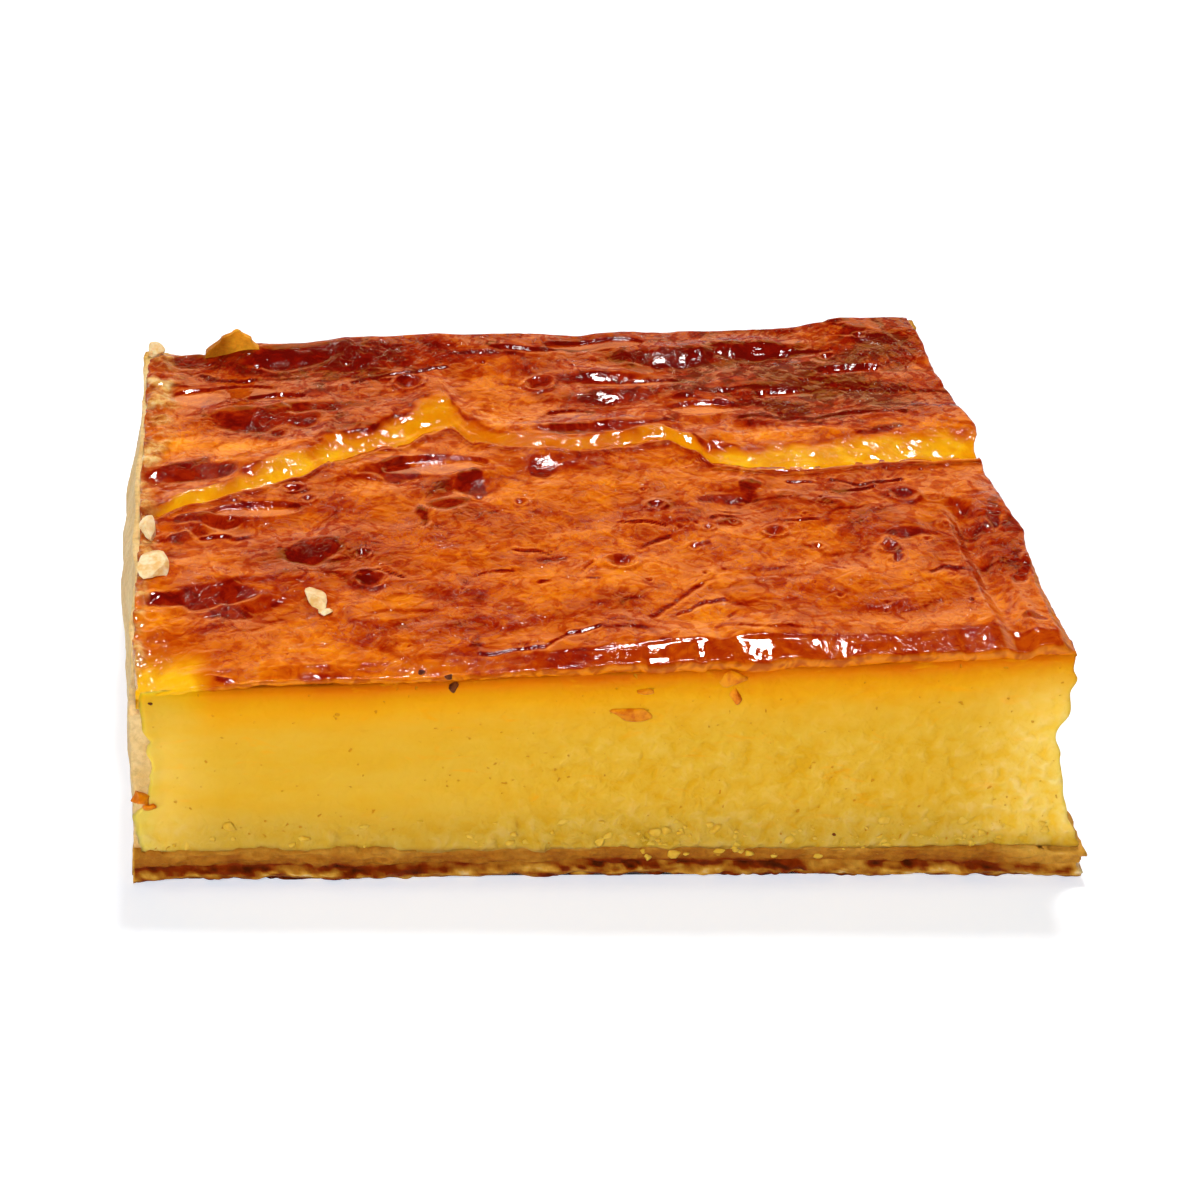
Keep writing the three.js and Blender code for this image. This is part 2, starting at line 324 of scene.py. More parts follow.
def cut_block(name, low, high, counts):
    """A block between two corners, in mm, cut into a grid, and each vertex's shares of the way right, back and up."""
    low = np.array(low, float)
    high = np.array(high, float)
    bpy.ops.object.select_all(action="DESELECT")
    bpy.ops.mesh.primitive_cube_add(size=1, location=(low + high) / 2 * MM, scale=(high - low) * MM)
    block = bpy.context.object
    block.name = name
    bpy.ops.object.transform_apply(location=True, rotation=False, scale=True)
    for axis, count in enumerate(counts):
        first_cuts = max(share for share in range(1, 100) if count % share == 0 and share * share <= count)
        for pieces in (first_cuts, count // first_cuts):
            if pieces > 1:
                bpy.ops.object.mode_set(mode="EDIT")
                bpy.ops.mesh.select_mode(type="EDGE")
                bpy.ops.mesh.select_all(action="DESELECT")
                bpy.ops.object.mode_set(mode="OBJECT")
                block.data.edges.foreach_set("select", edges_along(block.data, axis))
                bpy.ops.object.mode_set(mode="EDIT")
                bpy.ops.mesh.subdivide(number_cuts=pieces - 1)
                bpy.ops.object.mode_set(mode="OBJECT")
    share = (read_vectors(block.data.vertices, "co") / MM - low) / (high - low)
    return block, np.clip(np.round(share * counts) / counts, 0, 1).T


def place_vertices(block, x, y, z):
    """Moves the vertices to plan places, in mm from the middle of the slice's foot."""
    places = (np.stack(np.broadcast_arrays(x, y, z), axis=1) + PLAN_ORIGIN) * MM
    block.data.vertices.foreach_set("co", places.astype(np.float32).ravel())
    block.data.update()


def merge_faces(block, covered_sides):
    """Joins the flat faces that something else covers into one for each side."""
    mesh = block.data
    bpy.context.view_layer.objects.active = block
    for is_covered in covered_sides:
        centres = read_vectors(mesh.polygons, "center") / MM - PLAN_ORIGIN
        chosen = is_covered(centres, read_vectors(mesh.polygons, "normal"))
        bpy.ops.object.mode_set(mode="EDIT")
        bpy.ops.mesh.select_mode(type="FACE")
        bpy.ops.mesh.select_all(action="DESELECT")
        bpy.ops.object.mode_set(mode="OBJECT")
        mesh.polygons.foreach_set("select", chosen)
        bpy.ops.object.mode_set(mode="EDIT")
        bpy.ops.mesh.dissolve_faces()
        bpy.ops.mesh.select_all(action="DESELECT")
        bpy.ops.object.mode_set(mode="OBJECT")


def give_values(block, name, values):
    """Stores one number for each vertex, for the material to read."""
    attribute = block.data.attributes.new(name, "FLOAT", "POINT")
    attribute.data.foreach_set("value", np.broadcast_to(values, len(block.data.vertices)).astype(np.float32))


def shade_smooth(block):
    for polygon in block.data.polygons:
        polygon.use_smooth = True


def join_as(name, parts):
    bpy.ops.object.select_all(action="DESELECT")
    for part in parts:
        part.select_set(True)
    bpy.context.view_layer.objects.active = parts[0]
    bpy.ops.object.join()
    joined = bpy.context.object
    joined.name = name
    return joined


# How far the walls bulge along their length and up their height, as shares of their greatest bulge.
BULGE_ALONG = [(FRONT_Y, 0), (-31, 0.2), (-26, 0.35), (-14, 0.45), (-6, 0.9), (6, 1), (17, 0.85), (26, 0.55),
               (31, 0.3), (BACK_Y, 0.15)]
BULGE_UP = [(0, 0.1), (3, 0.35), (9, 0.95), (16, 1), (24, 0.15)]
# How far each layer of the cut plate sticks out and how deeply it is baked, by height in mm.
LAYER_EDGE = [(0, -0.9), (0.4, 0.3), (0.9, 0.6), (1.25, 0.1), (1.6, -0.7), (2.0, -0.1), (2.8, 0.1), (3.5, 0.1),
              (3.9, -0.1)]
LAYER_BAKED = [(0, 0.74), (0.5, 0.50), (1.0, 0.54), (1.3, 0.80), (1.8, 0.78), (2.2, 0.58), (3.0, 0.54),
               (3.8, 0.44)]
# How far the right cut sticks out by height, and the foot of the front cut along its length.
RIGHT_FACE = [(4, 3.6), (5.2, 3.2), (7.5, 2.1), (11, 1.3), (15, 0.4), (17.8, -0.6), (20.5, 0.5), (23, 0.1),
              (24.6, 0.6), (26, -0.1), (28.5, 0)]
FOOT_OUT = [(-50, 0.8), (-36, 0.5), (-26, 0.5), (-18, 0), (12, -0.2), (28, 0.2), (50, 0.6)]
# The corner of the front cut turns back into the skewed line of the slice over this many mm.
SKEW_REACH = 9


def left_bulge(row, z):
    return LEFT_WALL_BULGE * along(BULGE_ALONG, row) * along(BULGE_UP, z)


def make_plate():
    low = (LEFT_X, FRONT_Y, 0)
    high = (RIGHT_X, BACK_Y, PLATE_THICKNESS)
    plate, (right, back, up) = cut_block("plate", low, high, (400, 200, 16))
    column = mix(LEFT_X, RIGHT_X, right)
    row = mix(FRONT_Y, BACK_Y, back)
    z = PLATE_THICKNESS * up
    at_left, at_right, at_front, at_back = right == 0, right == 1, back == 0, back == 1
    flaky = 0.6 * along(LAYER_EDGE, z + 0.35 * ripple(column, row, 0, 4, 11))
    flaky = flaky + 0.9 * np.abs(crumble(column * 0.7, row * 0.7, z * 3, 2.2, 12))
    flaky = flaky + 0.25 * ripple(column, row, z, 9, 13) - 0.3
    under_wall = UNDER_WALL * smoothstep(row - FRONT_Y, 0.5, 3)
    x = column - np.where(at_left, left_bulge(row, z) - under_wall, 0)
    x = np.minimum(x + np.where(at_right, flaky, 0), FLAKES_END_X)
    y = row + skew_at(column) * (1 - smoothstep(row - FRONT_Y, 0, SKEW_REACH)) - UNDER_WALL * at_back
    y = np.maximum(y - np.where(at_front, flaky + along(FOOT_OUT, column), 0), FLAKES_START_Y)
    z = z + 1.4 * np.maximum(crumble(column, row, 4, 2.4, 20), -0.15) * (up == 1) * at_front
    z = z + np.where((up > 0) & (up < 1), 0.25 * ripple(column, row, z, 2.0, 14), 0)
    at_foot = (up == 0) & (at_right | at_front)
    z = z + np.where(at_foot, np.maximum(0, 0.5 * crumble(column, row, 0, 3.5, 18)), 0)
    place_vertices(plate, x, y, z)
    layer = z + 0.35 * ripple(column, row, 0, 9, 16) + 0.45 * crumble(column, row, 0, 2.4, 17)
    flakes = crumble(column * 0.8, row * 0.8, z * 2.6, 1.4, 15)
    interrupted = 0.30 * smoothstep(ripple(column, row, 0, 6, 19), 0.0, 0.5) * smoothstep(layer, 1.0, 1.3)
    baked = along(LAYER_BAKED, layer) - interrupted * (1 - smoothstep(layer, 1.9, 2.2))
    pink_end = 0.18 * smoothstep(column, 38, 48)
    baked = baked - pink_end + mix(0.12, 0.75, 1 - smoothstep(layer, 1.1, 2.2)) * flakes
    beside_walls = 0.05 + 0.2 * (1 - smoothstep(z, 0, 5))
    give_values(plate, "baked", np.where(at_left | at_back, beside_walls, baked))
    merge_faces(plate, [lambda centres, normals: np.abs(normals[:, 2]) > 0.98])
    return plate


def rim_z(x, y):
    lump = 0.9 * (1 - smoothstep(np.hypot(x - LEFT_X, y - BACK_Y), 2, 6))
    torn_off = 3.0 * (1 - smoothstep(y - FRONT_Y, 7, 12)) * (x < 0)
    return level_z(x, y) - 0.6 + lump - torn_off + 0.35 * crumble(x, y, 0, 2.2, 21)


def wall_z(column, row, up):
    return WALL_FOOT_Z + up * (rim_z(column, row) - WALL_FOOT_Z)


def make_left_wall():
    inner_x = LEFT_X + WALL_THICKNESS
    wall, (right, back, up) = cut_block("left_wall", (LEFT_X, FRONT_Y, 0), (inner_x, BACK_Y, 25), (6, 210, 60))
    column = mix(LEFT_X, inner_x, right)
    row = mix(FRONT_Y, BACK_Y, back)
    z = wall_z(column, row, up)
    outward = left_bulge(row, z) + 0.25 * ripple(row, z, 1, 5, 22)
    x = column - (1 - right) * (outward + 0.12 * crumble(row, z, 0, 1.6, 23))
    y = row + skew_at(column) * (1 - smoothstep(row - FRONT_Y, 0, SKEW_REACH))
    y = y + np.where(back == 0, 0.25 - 0.25 * crumble(column, z, 3, 1.5, 24), 0)
    place_vertices(wall, x, y, z)
    return wall


def make_back_wall():
    inner_y = BACK_Y - WALL_THICKNESS
    right_end = RIGHT_X - CUT_INSET + 4
    wall, (right, back, up) = cut_block("back_wall", (LEFT_X, inner_y, 0), (right_end, BACK_Y, 28), (260, 6, 60))
    row = mix(inner_y, BACK_Y, back)
    height = wall_z(mix(LEFT_X, right_end, right), row, up)
    cut_end = RIGHT_X - CUT_INSET + along(RIGHT_FACE, height) + 0.2 * crumble(row, height, 5, 1.5, 25)
    column = mix(LEFT_X, cut_end, right)
    z = wall_z(column, row, up)
    outward = BACK_WALL_BULGE * along(BULGE_UP, z) + 0.25 * ripple(column, z, 2, 6, 26)
    x = column - np.where(right == 0, left_bulge(row, z), 0)
    y = row + back * (outward + 0.12 * crumble(column, z, 0, 1.6, 27))
    place_vertices(wall, x, np.minimum(y, FLAKES_END_Y), z)
    return wall


# The pointed flake that stands up from the back rim, and how it narrows towards its tip.
HORN_X = -39.7
HORN_WIDTH = 7.2
HORN_ROOT_Z = 19.0
HORN_TIP_Z = 28.0
HORN_TAPER = [(0, 1), (0.62, 1), (0.86, 0.5), (0.97, 0.12), (1, 0.02)]


def make_horn():
    low = (HORN_X - 3.6, BACK_Y - 1.8, HORN_ROOT_Z)
    high = (HORN_X + 3.6, BACK_Y - 0.4, HORN_TIP_Z)
    horn, (right, back, up) = cut_block("horn", low, high, (28, 8, 44))
    half = HORN_WIDTH / 2 * along(HORN_TAPER, up)
    z = mix(HORN_ROOT_Z, HORN_TIP_Z, up)
    x = HORN_X + 0.5 * up + (right * 2 - 1) * half + 0.15 * ripple(z, right * 3, 0, 1.6, 31)
    y = mix(BACK_Y - 1.9, BACK_Y - 0.4 - 0.9 * up ** 3, back)
    place_vertices(horn, x, y + 0.2 * crumble(x, z, 0, 1.8, 32), z)
    return horn


plate = make_plate()
walls = [make_left_wall(), make_back_wall(), make_horn()]
for wall in walls:
    places = read_vectors(wall.data.vertices, "co") / MM
    height = places[:, 2]
    glazed = 0.30 * smoothstep(height, 23, 26) + 0.2 * (1 - smoothstep(height, 0, 5))
    on_slope = 1 - smoothstep(places[:, 0] - PLAN_ORIGIN[0], HORN_X - 1.2, HORN_X + 1.0)
    amber = (0.9 - 0.6 * on_slope) * (1 - 0.6 * smoothstep(height, 27.6, 28.8))
    give_values(wall, "baked", (0.2 + 0.5 * on_slope if wall.name == "horn" else 0.05 + glazed))
    give_values(wall, "amber", amber * (wall.name == "horn"))
case = join_as("pastry_case", [plate] + walls)


def value_node(tree, name):
    return add_node(tree, "ShaderNodeAttribute", attribute_name=name).outputs["Fac"]


def place_node(tree):
    return add_node(tree, "ShaderNodeTexCoord").outputs["Object"]


def noise_node(tree, place, scale, detail=3.0, roughness=0.55, distortion=0.0):
    return add_node(tree, "ShaderNodeTexNoise", {
        "Vector": place, "Scale": scale, "Detail": detail, "Roughness": roughness,
        "Distortion": distortion}).outputs["Fac"]


def mix_colors(tree, share, first, second, blend="MIX"):
    node = add_node(tree, "ShaderNodeMix", data_type="RGBA", blend_type=blend)
    for socket, value in (("Factor", share), ("A", first), ("B", second)):
        target = next(entry for entry in node.inputs if entry.name == socket and entry.enabled)
        if isinstance(value, bpy.types.NodeSocket):
            tree.links.new(value, target)
        else:
            target.default_value = value if socket == "Factor" else (*value, 1)
    return next(entry for entry in node.outputs if entry.enabled)


def bump_node(tree, strength, distance, height):
    return add_node(tree, "ShaderNodeBump", {
        "Strength": strength, "Distance": distance, "Height": height}).outputs[0]


def surface_inputs(roughness, specular, weight, radius, scale=0.001):
    """How rough and how shiny a surface is, and how far light spreads under it."""
    return {"Roughness": roughness, "Specular IOR Level": specular, "Subsurface Weight": weight,
            "Subsurface Radius": radius, "Subsurface Scale": scale}


# Colours by how deeply the pastry is baked, of the amber horn, and shades by the grain of the surface.
BAKED_COLORS = [(0.0, (0.84, 0.64, 0.33)), (0.25, (0.68, 0.36, 0.05)), (0.5, (0.44, 0.17, 0.014)),
                (0.75, (0.22, 0.025, 0.001)), (1.0, (0.07, 0.010, 0.001))]
AMBER_COLOR = (0.95, 0.40, 0.015)
GRAIN_SHADES = [(0.3, (0.82, 0.80, 0.76)), (0.6, (1.05, 1.05, 1.05))]


def pastry_finish():
    material, tree, shader = new_finish("baked_pastry")
    place = place_node(tree)
    broad = math_node(tree, "SUBTRACT", noise_node(tree, place, 240, 4), 0.5)
    grain = noise_node(tree, place, 1600, 4, 0.65)
    baked = math_node(tree, "ADD", value_node(tree, "baked"), multiply(tree, broad, 0.4))
    color = ramp_node(tree, baked, BAKED_COLORS)
    color = mix_colors(tree, value_node(tree, "amber"), color, AMBER_COLOR)
    color = mix_colors(tree, 1.0, color, ramp_node(tree, grain, GRAIN_SHADES), "MULTIPLY")
    set_inputs(tree, shader, surface_inputs(0.45, 0.12, 0.15, (1.0, 0.4, 0.15)))
    set_inputs(tree, shader, {"Base Color": color, "Normal": bump_node(tree, 0.6, 0.0004, grain)})
    return material


case.data.materials.append(pastry_finish())
shade_smooth(case)
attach(case, "root")
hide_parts("pastry")


# ---------------------------------------------------------------------------------------------
# The custard
# Baked egg custard, smooth and moist, set against the case and cut by a wet knife. Its faces sag
# between skin and case, and it shows through the tear that runs across the top.
# ---------------------------------------------------------------------------------------------
CUSTARD_LEFT_X = LEFT_X + WALL_THICKNESS
CUSTARD_RIGHT_X = RIGHT_X - CUT_INSET
CUSTARD_BACK_Y = BACK_Y - WALL_THICKNESS
CUSTARD_BOTTOM_Z = PLATE_THICKNESS - 0.2
# How far below the skin's level the custard ends at the front.
RIM_DROP = [(-50, 0.95), (-42, 1.0), (-28, 1.0), (-10, 1.05), (0, 1.15), (46, 1.2)]
# How far the custard is smeared out over the case at the left, and how far the front cut stands out, by height.
LEFT_SMEAR = [(3.9, 1.3), (6, 1.8), (8.1, 2.0), (8.9, 1.5), (9.6, 0.5), (13.6, 0.2), (17.3, 0.4), (18.6, 0.9),
              (22, 1.1), (26.8, 1.3)]
FRONT_FACE = [(3.3, -0.1), (4.4, 0.25), (8, -0.1), (14, -0.45), (20, -0.3), (22.5, -0.1), (26, 0.0), (29, 0.1)]
# The line of the tear across the slice, the width of the slope behind it, its crest, and how deep it sank.
TEAR_LIP = [(-50, -5), (-43.4, -1.5), (-38, 1.2), (-32.5, 3.7), (-28.7, 7.2), (-20.5, 10.4), (-17, 13.6), (-14.5, 14.5),
            (-12, 10), (-8, 8.3), (0, 6.6), (5, 7.2), (10, 8.6), (13, 6), (15, 2.4), (20, 0.5), (25, -0.1),
            (30, 0.9), (36, 1.2), (46, 1)]
TEAR_BANK = [(-50, 1.6), (-44, 3.0), (-38, 4.8), (-32, 6.4), (-26, 6.2), (-20, 7.2), (-16, 8.6), (-12, 7), (-9, 4.6),
             (8, 4.6), (14, 4.8), (24, 6.2), (46, 7.2)]
BANK_CREST = [(-50, 0.5), (-20, 0.6), (-8, 0.3), (12, 0.25), (46, 0.25)]
TEAR_DEPTH = [(-50, 1.0), (-40, 1.5), (-24, 1.7), (-12, 0.7), (8, 0.6), (20, 1.2), (46, 1.2)]


def tear_lip(x):
    return along(TEAR_LIP, x) + 0.5 * crumble(x, 0, 0, 5, 41)


def tear_bank(x):
    return along(TEAR_BANK, x) * (1 + 0.3 * crumble(x, 5, 0, 4, 42))


def make_custard():
    low = (CUSTARD_LEFT_X, FRONT_Y, CUSTARD_BOTTOM_Z)
    high = (CUSTARD_RIGHT_X, CUSTARD_BACK_Y, HEIGHT_RIGHT)
    custard, (right, back, up) = cut_block("custard_body", low, high, (256, 192, 64))
    column = mix(low[0], high[0], right)
    row = mix(low[1], high[1], back)
    across = (column - LEFT_X) / (CUSTARD_RIGHT_X - LEFT_X)
    at_front = back == 0
    at_right = right == 1
    rim = level_z(column, row) - np.where(at_front, along(RIM_DROP, column), 1.5)
    flat = mix(HEIGHT_LEFT, HEIGHT_RIGHT, across) - 3.4
    height = mix(CUSTARD_BOTTOM_Z, np.where(at_front | at_right, rim, flat), up)
    even_height = height * HEIGHT_RIGHT / level_z(column, row)
    curdy = smoothstep(column, -25, 5) * (1 - 0.6 * smoothstep(height, 14, 22)) + 0.5 * (1 - smoothstep(height, 6, 9))
    pitted = 0.12 * crumble(column, row, height, 4.0, 44) + 0.07 * curdy * ripple(column, row, height, 1.5, 45)
    height = height + np.where(up == 0, 0.45 * crumble(column, row, 0, 2.4, 49), 0)
    crumbly = (1 - smoothstep(height, 5.5, 8.5)) * smoothstep(ripple(column, row, 0, 9, 47), -0.6, 0.4)
    pitted = pitted + 0.5 * crumbly * crumble(column, row, height, 1.7, 48)
    near_right = smoothstep(column - CUSTARD_RIGHT_X, -5, 0)
    near_front = 1 - smoothstep(row - FRONT_Y, 0, 5)
    x = column + near_right * (along(RIGHT_FACE, even_height) + pitted)
    smeared = (1 - smoothstep(column - CUSTARD_LEFT_X, 0, 1.2)) * at_front
    x = x - smeared * (along(LEFT_SMEAR, height) + 0.4 * crumble(height, 0, 0, 1.6, 46))
    bulge = along(FRONT_FACE, even_height) + pitted - 0.35 * (1 - smoothstep(rim - height, 0.1, 0.9))
    y = row - 0.35 * smeared * smoothstep(height, CUSTARD_BOTTOM_Z, 5) - near_front * (bulge - skew_at(column))
    place_vertices(custard, x, y, height)
    at_torn_corner = 1 - smoothstep(column - LEFT_X, 3, 9)
    give_values(custard, "below_skin", rim - height - 0.3 + 3.4 * at_torn_corner)
    # Painted light: the custard is drawn paler near its left and right edges, a glow of light shining through it.
    past_left = 1 - np.sqrt(np.clip((column - CUSTARD_LEFT_X + 1) / 8, 0, 1))
    past_right = 0.8 * smoothstep(column, CUSTARD_RIGHT_X - 12, CUSTARD_RIGHT_X) * smoothstep(height, 4, 7)
    give_values(custard, "painted_edge_glow", np.maximum(past_left, past_right) * smoothstep(rim - height, 1, 8))
    give_values(custard, "above_plate", height - CUSTARD_BOTTOM_Z)
    give_values(custard, "curdy", curdy)
    merge_faces(custard, [lambda centres, normals: normals[:, 2] > 0.999,
                          lambda centres, normals: normals[:, 2] < -0.999,
                          lambda centres, normals: (normals[:, 1] > 0.999) & (centres[:, 1] > CUSTARD_BACK_Y - 0.01),
                          lambda centres, normals: (normals[:, 0] < -0.999) & (centres[:, 1] > FRONT_Y + 8)])
    return custard


# Colours by depth below the skin in cm, where custard was smeared, towards the bottom (its own duller tone and painted
# shade), where it ends at the plate, and a painted glow of light shining through near the left and right edges.
CUSTARD_COLORS = [(0.0, (0.70, 0.13, 0.0005)), (0.07, (0.80, 0.23, 0.0005)), (0.17, (0.83, 0.33, 0.0005)),
                  (0.30, (0.83, 0.395, 0.006)), (0.50, (0.79, 0.435, 0.022)), (0.8, (0.76, 0.45, 0.03))]
STREAKS = [(0.60, (0, 0, 0)), (0.72, (0.55, 0.55, 0.55))]
SMEARED_COLOR = (0.88, 0.38, 0.002)
LOW_TONE_AND_SHADE_COLOR = (0.62, 0.39, 0.045)
FOOT_COLOR = (0.50, 0.27, 0.035)
PAINTED_EDGE_GLOW_COLOR = (1.0, 0.69, 0.12)
PIT_SHADE_COLOR = (0.62, 0.24, 0.006)
# Shades of the smooth and the curdy custard. The curdy ones follow the lumps of the bump: darker in the hollows,
# painted shade, and paler on the tops, painted highlight, over the custard's own mottling.
SMOOTH_SHADES = [(0.36, (1.0, 0.96, 0.75)), (0.64, (1.0, 1.03, 1.3))]
CURDY_TONES_SHADE_AND_HIGHLIGHT = [(0.34, (0.96, 0.88, 0.42)), (0.46, (0.99, 0.98, 0.95)), (0.58, (1.01, 1.04, 1.35)),
                (0.68, (1.05, 1.12, 2.2))]


def custard_finish():
    material, tree, shader = new_finish("baked_custard")
    place = place_node(tree)
    soft = math_node(tree, "SUBTRACT", noise_node(tree, place, 120, 3), 0.5)
    depth = multiply_add(tree, soft, 1.6, value_node(tree, "below_skin"))
    color = ramp_node(tree, math_node(tree, "DIVIDE", depth, 10.0), CUSTARD_COLORS)
    smeared = add_node(tree, "ShaderNodeMapping", {"Vector": place, "Scale": (0.35, 1.0, 1.0)}).outputs[0]
    streaks = ramp_node(tree, noise_node(tree, smeared, 500, 3, 0.6, 0.6), STREAKS)
    above_plate = value_node(tree, "above_plate")
    # Towards the bottom the custard is drawn duller, partly its own tone and partly painted shade; near the edges it is
    # drawn paler, a painted glow.
    for share, tint in ((streaks, SMEARED_COLOR), (soft_step(tree, above_plate, 7.5, 0.0), LOW_TONE_AND_SHADE_COLOR),
                        (soft_step(tree, above_plate, 0.7, -0.1), FOOT_COLOR),
                        (value_node(tree, "painted_edge_glow"), PAINTED_EDGE_GLOW_COLOR)):
        color = mix_colors(tree, share, color, tint)
    lumps = noise_node(tree, place, 620, 2, 0.5, 0.3)
    smooth_part = ramp_node(tree, noise_node(tree, smeared, 420, 2, 0.5), SMOOTH_SHADES)
    lumpy_part = ramp_node(tree, lumps, CURDY_TONES_SHADE_AND_HIGHLIGHT)
    curdy = math_node(tree, "MINIMUM", value_node(tree, "curdy"), 1.0)
    color = mix_colors(tree, 1.0, color, mix_colors(tree, curdy, smooth_part, lumpy_part), "MULTIPLY")
    # Painted shade: the small pits that the bump dents are also drawn darker.
    pits = multiply(tree, soft_step(tree, noise_node(tree, place, 1300, 1), 0.73, 0.79), 0.7)
    color = mix_colors(tree, pits, color, PIT_SHADE_COLOR)
    height = multiply(tree, multiply_add(tree, noise_node(tree, place, 1400, 2), 0.3, lumps),
                      multiply_add(tree, curdy, 0.7, 0.3))
    height = math_node(tree, "SUBTRACT", height, multiply(tree, pits, 0.4))
    set_inputs(tree, shader, surface_inputs(0.42, 0.06, 0.5, (1.2, 0.8, 0.25)))
    set_inputs(tree, shader, {"Base Color": color, "Normal": bump_node(tree, 0.8, 0.0007, height)})
    return material


custard = make_custard()
custard.data.materials.append(custard_finish())
shade_smooth(custard)
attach(custard, "root")
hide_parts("custard")


# ---------------------------------------------------------------------------------------------
# The baked skin
# The top of the custard, browned in the oven and brushed with clear glaze. It tore right across as
# it rose, so it lies as two sheets, the front one curled up over the bare slope of the back one.
# ---------------------------------------------------------------------------------------------
SHEET_FLOOR = 3.0
TOP_Z = 29.85
CURLED_EDGE = 2.0
LIP_OVERHANG = 0.35
# From here to there along X the front lip of the skin changes from wrinkled to smooth.
SMOOTH_LIP_X = (-8, 2)
# The groove near the right side: its middle and its half width.
GROOVE_X = 40.3
GROOVE_HALF = 2.1
# Slopes that lean forward, where glaze ran together: x, y, reach along x, reach along y, height.
GLAZE_SLOPES = [(-22.5, 4, 4.4, 2.8, 0.8), (-13, 0.5, 3.2, 3.2, 0.9), (-4.5, 4, 3, 2.6, 0.8),
                (5.3, 20.3, 3.6, 2.2, 0.9), (14.5, 30.5, 5.5, 3, 1.5), (25, 31.6, 5, 2.6, 1.3),
                (5, 26, 6, 2.0, 0.7), (16, -4.5, 2.8, 3.4, 0.7),
                (-43, 5.5, 6, 2.6, 0.9), (-37.5, 18.5, 9, 4, 0.8), (-32, 34, 12, 4, 1.1), (-45, -6.5, 7, 2.6, 0.5),
                (-42, -22.5, 6.5, 4, 0.8), (1.5, 12.4, 10, 1.6, 0.5), (34, -15.2, 5, 2, 0.3), (-31, -12.8, 5, 3, 0.5),
                (24, 14, 8, 3, 0.4), (38, 20, 6, 4, 0.4), (-41.5, -37.6, 2.4, 1.4, 0.3), (43.6, -20, 1.6, 12, 0.8)]
# Pools that lie level or lean back, and mirror the wall: x, y, reach along x, reach along y.
POOLS = [(-43.5, 25.5, 3.4, 2.8), (-39.5, 26.6, 4.8, 1.8), (-34.8, 24.4, 3.6, 1.0), (16, 16.8, 4.4, 1.8),
         (0, 16.6, 3, 0.8), (5, 34.8, 6.5, 1.5), (-17, 5.2, 6, 2.4), (-37, -3.5, 5, 1.6), (26, 19.5, 4, 0.9),
         (35, 25, 4, 0.9), (10, 24, 5, 1.1)]
BLISTERS = [(1.5, -18.5, 1.8), (35, -7, 1.6), (-25.5, -20, 1.7), (-18.5, 26.5, 2.0), (-3, 25, 1.9), (19, -14, 1.5),
            (31, -18.5, 1.1), (31.4, -21, 0.9), (7, -6.5, 1.1), (-33, 1, 1.2), (-19, -8.5, 0.7), (-26, -14, 1.0),
            (23.2, -17.4, 0.8), (-12.5, -2.5, 0.8), (-8, -4.2, 0.8), (15, -11, 0.8), (12, -12, 0.7), (10, -16, 0.8),
            (-31.5, -1.5, 0.8), (33, 29, 0.9), (38, 33, 0.8)]
PINHOLES = 90
# Where the oven browned it more or less: x, y, reach along x, reach along y, how much.
BROWNING = [(30, 27, 18, 11, 0.20), (-31, 33, 16, 7, 0.10), (24, -5, 8, 5, 0.08), (35, -15, 7, 7, 0.07),
            (-30, -13, 12, 5, 0.10), (20, -38, 26, 1.6, 0.14), (-48, -36, 4, 7, -0.45), (-38, -38, 9, 4, -0.16),
            (-30, -31, 9, 4, -0.10), (-18, -38, 12, 3, -0.14), (-14, 26, 7, 3, -0.16), (-38, 12.5, 10, 2.0, -0.26),
            (-46, 14, 4, 5, -0.2), (44, 6, 6, 5, -0.24), (27, 8.5, 16, 1.8, -0.16), (-9, 17, 7, 3, -0.12),
            (8, -25, 14, 6, -0.03), (-6, 28, 8, 6, -0.08), (-48, -22, 3, 8, -0.16), (43.6, -20, 3, 16, 0.10)]
# Dark pools where the glaze ran together and burnt, with a sharp shore.
DARK_POOLS = [(-32.7, 35, 7.6, 3.6), (-44.9, 35, 3.4, 2.6), (-37.4, 18.5, 6.6, 3.6), (-30, 21, 5, 1.8),
              (-44, 6.6, 5.4, 2.2), (-21.7, 4.6, 3.6, 2.6), (-12.6, 0.2, 2.4, 3.2), (-4.3, 3.6, 2.0, 2.4),
              (4.6, 25.6, 4.4, 1.3),
              (9, 28.4, 3.4, 1.2), (5.1, 20.1, 3.2, 1.4), (14.8, 30.5, 3.2, 2.6), (20.5, 29.4, 2.6, 2.6),
              (24.6, 31.8, 2.2, 2.2), (29.8, 31.9, 1.7, 1.4), (35.2, 37, 1.9, 0.9), (37.5, 34.6, 1.8, 1.2),
              (34.3, 26.1, 1.3, 1.0), (25, 23, 3.2, 0.8), (36, 18.6, 3, 0.9), (36, 9, 2.6, 0.9), (2.5, 12.4, 8, 1.4),
              (14.5, -5.3, 2.6, 1.2), (17.6, -4.2, 1.2, 2.6), (13.4, -11.6, 1.8, 0.8), (-18.9, -6.4, 1.0, 2.4),
              (-15.6, -3.4, 2.4, 1.0), (-42.4, -5.8, 6.0, 1.6), (-31, -12.6, 3.6, 2.4), (-42.6, -21.8, 5.4, 2.2),
              (-39.8, -24.6, 2.6, 2.0), (30.9, -19.2, 0.8, 2.4), (34.6, -15.3, 3.4, 0.7), (-41.6, -37.6, 2.2, 0.6),
              (-4.6, -16.4, 1.6, 0.7), (10, -16.4, 0.9, 0.7), (43.4, -13, 1.2, 3.4), (44.4, -24, 1.2, 3.0),
              (43, -35, 1.0, 1.6), (-47, -10, 1.4, 1.6), (31, 13.5, 5, 0.7), (40, 24, 2.6, 0.8)]
# How steeply the surface of a pool falls to the front, in mm for each mm.
POOL_LEAN = -0.12
DARK_LEAN = 0.13
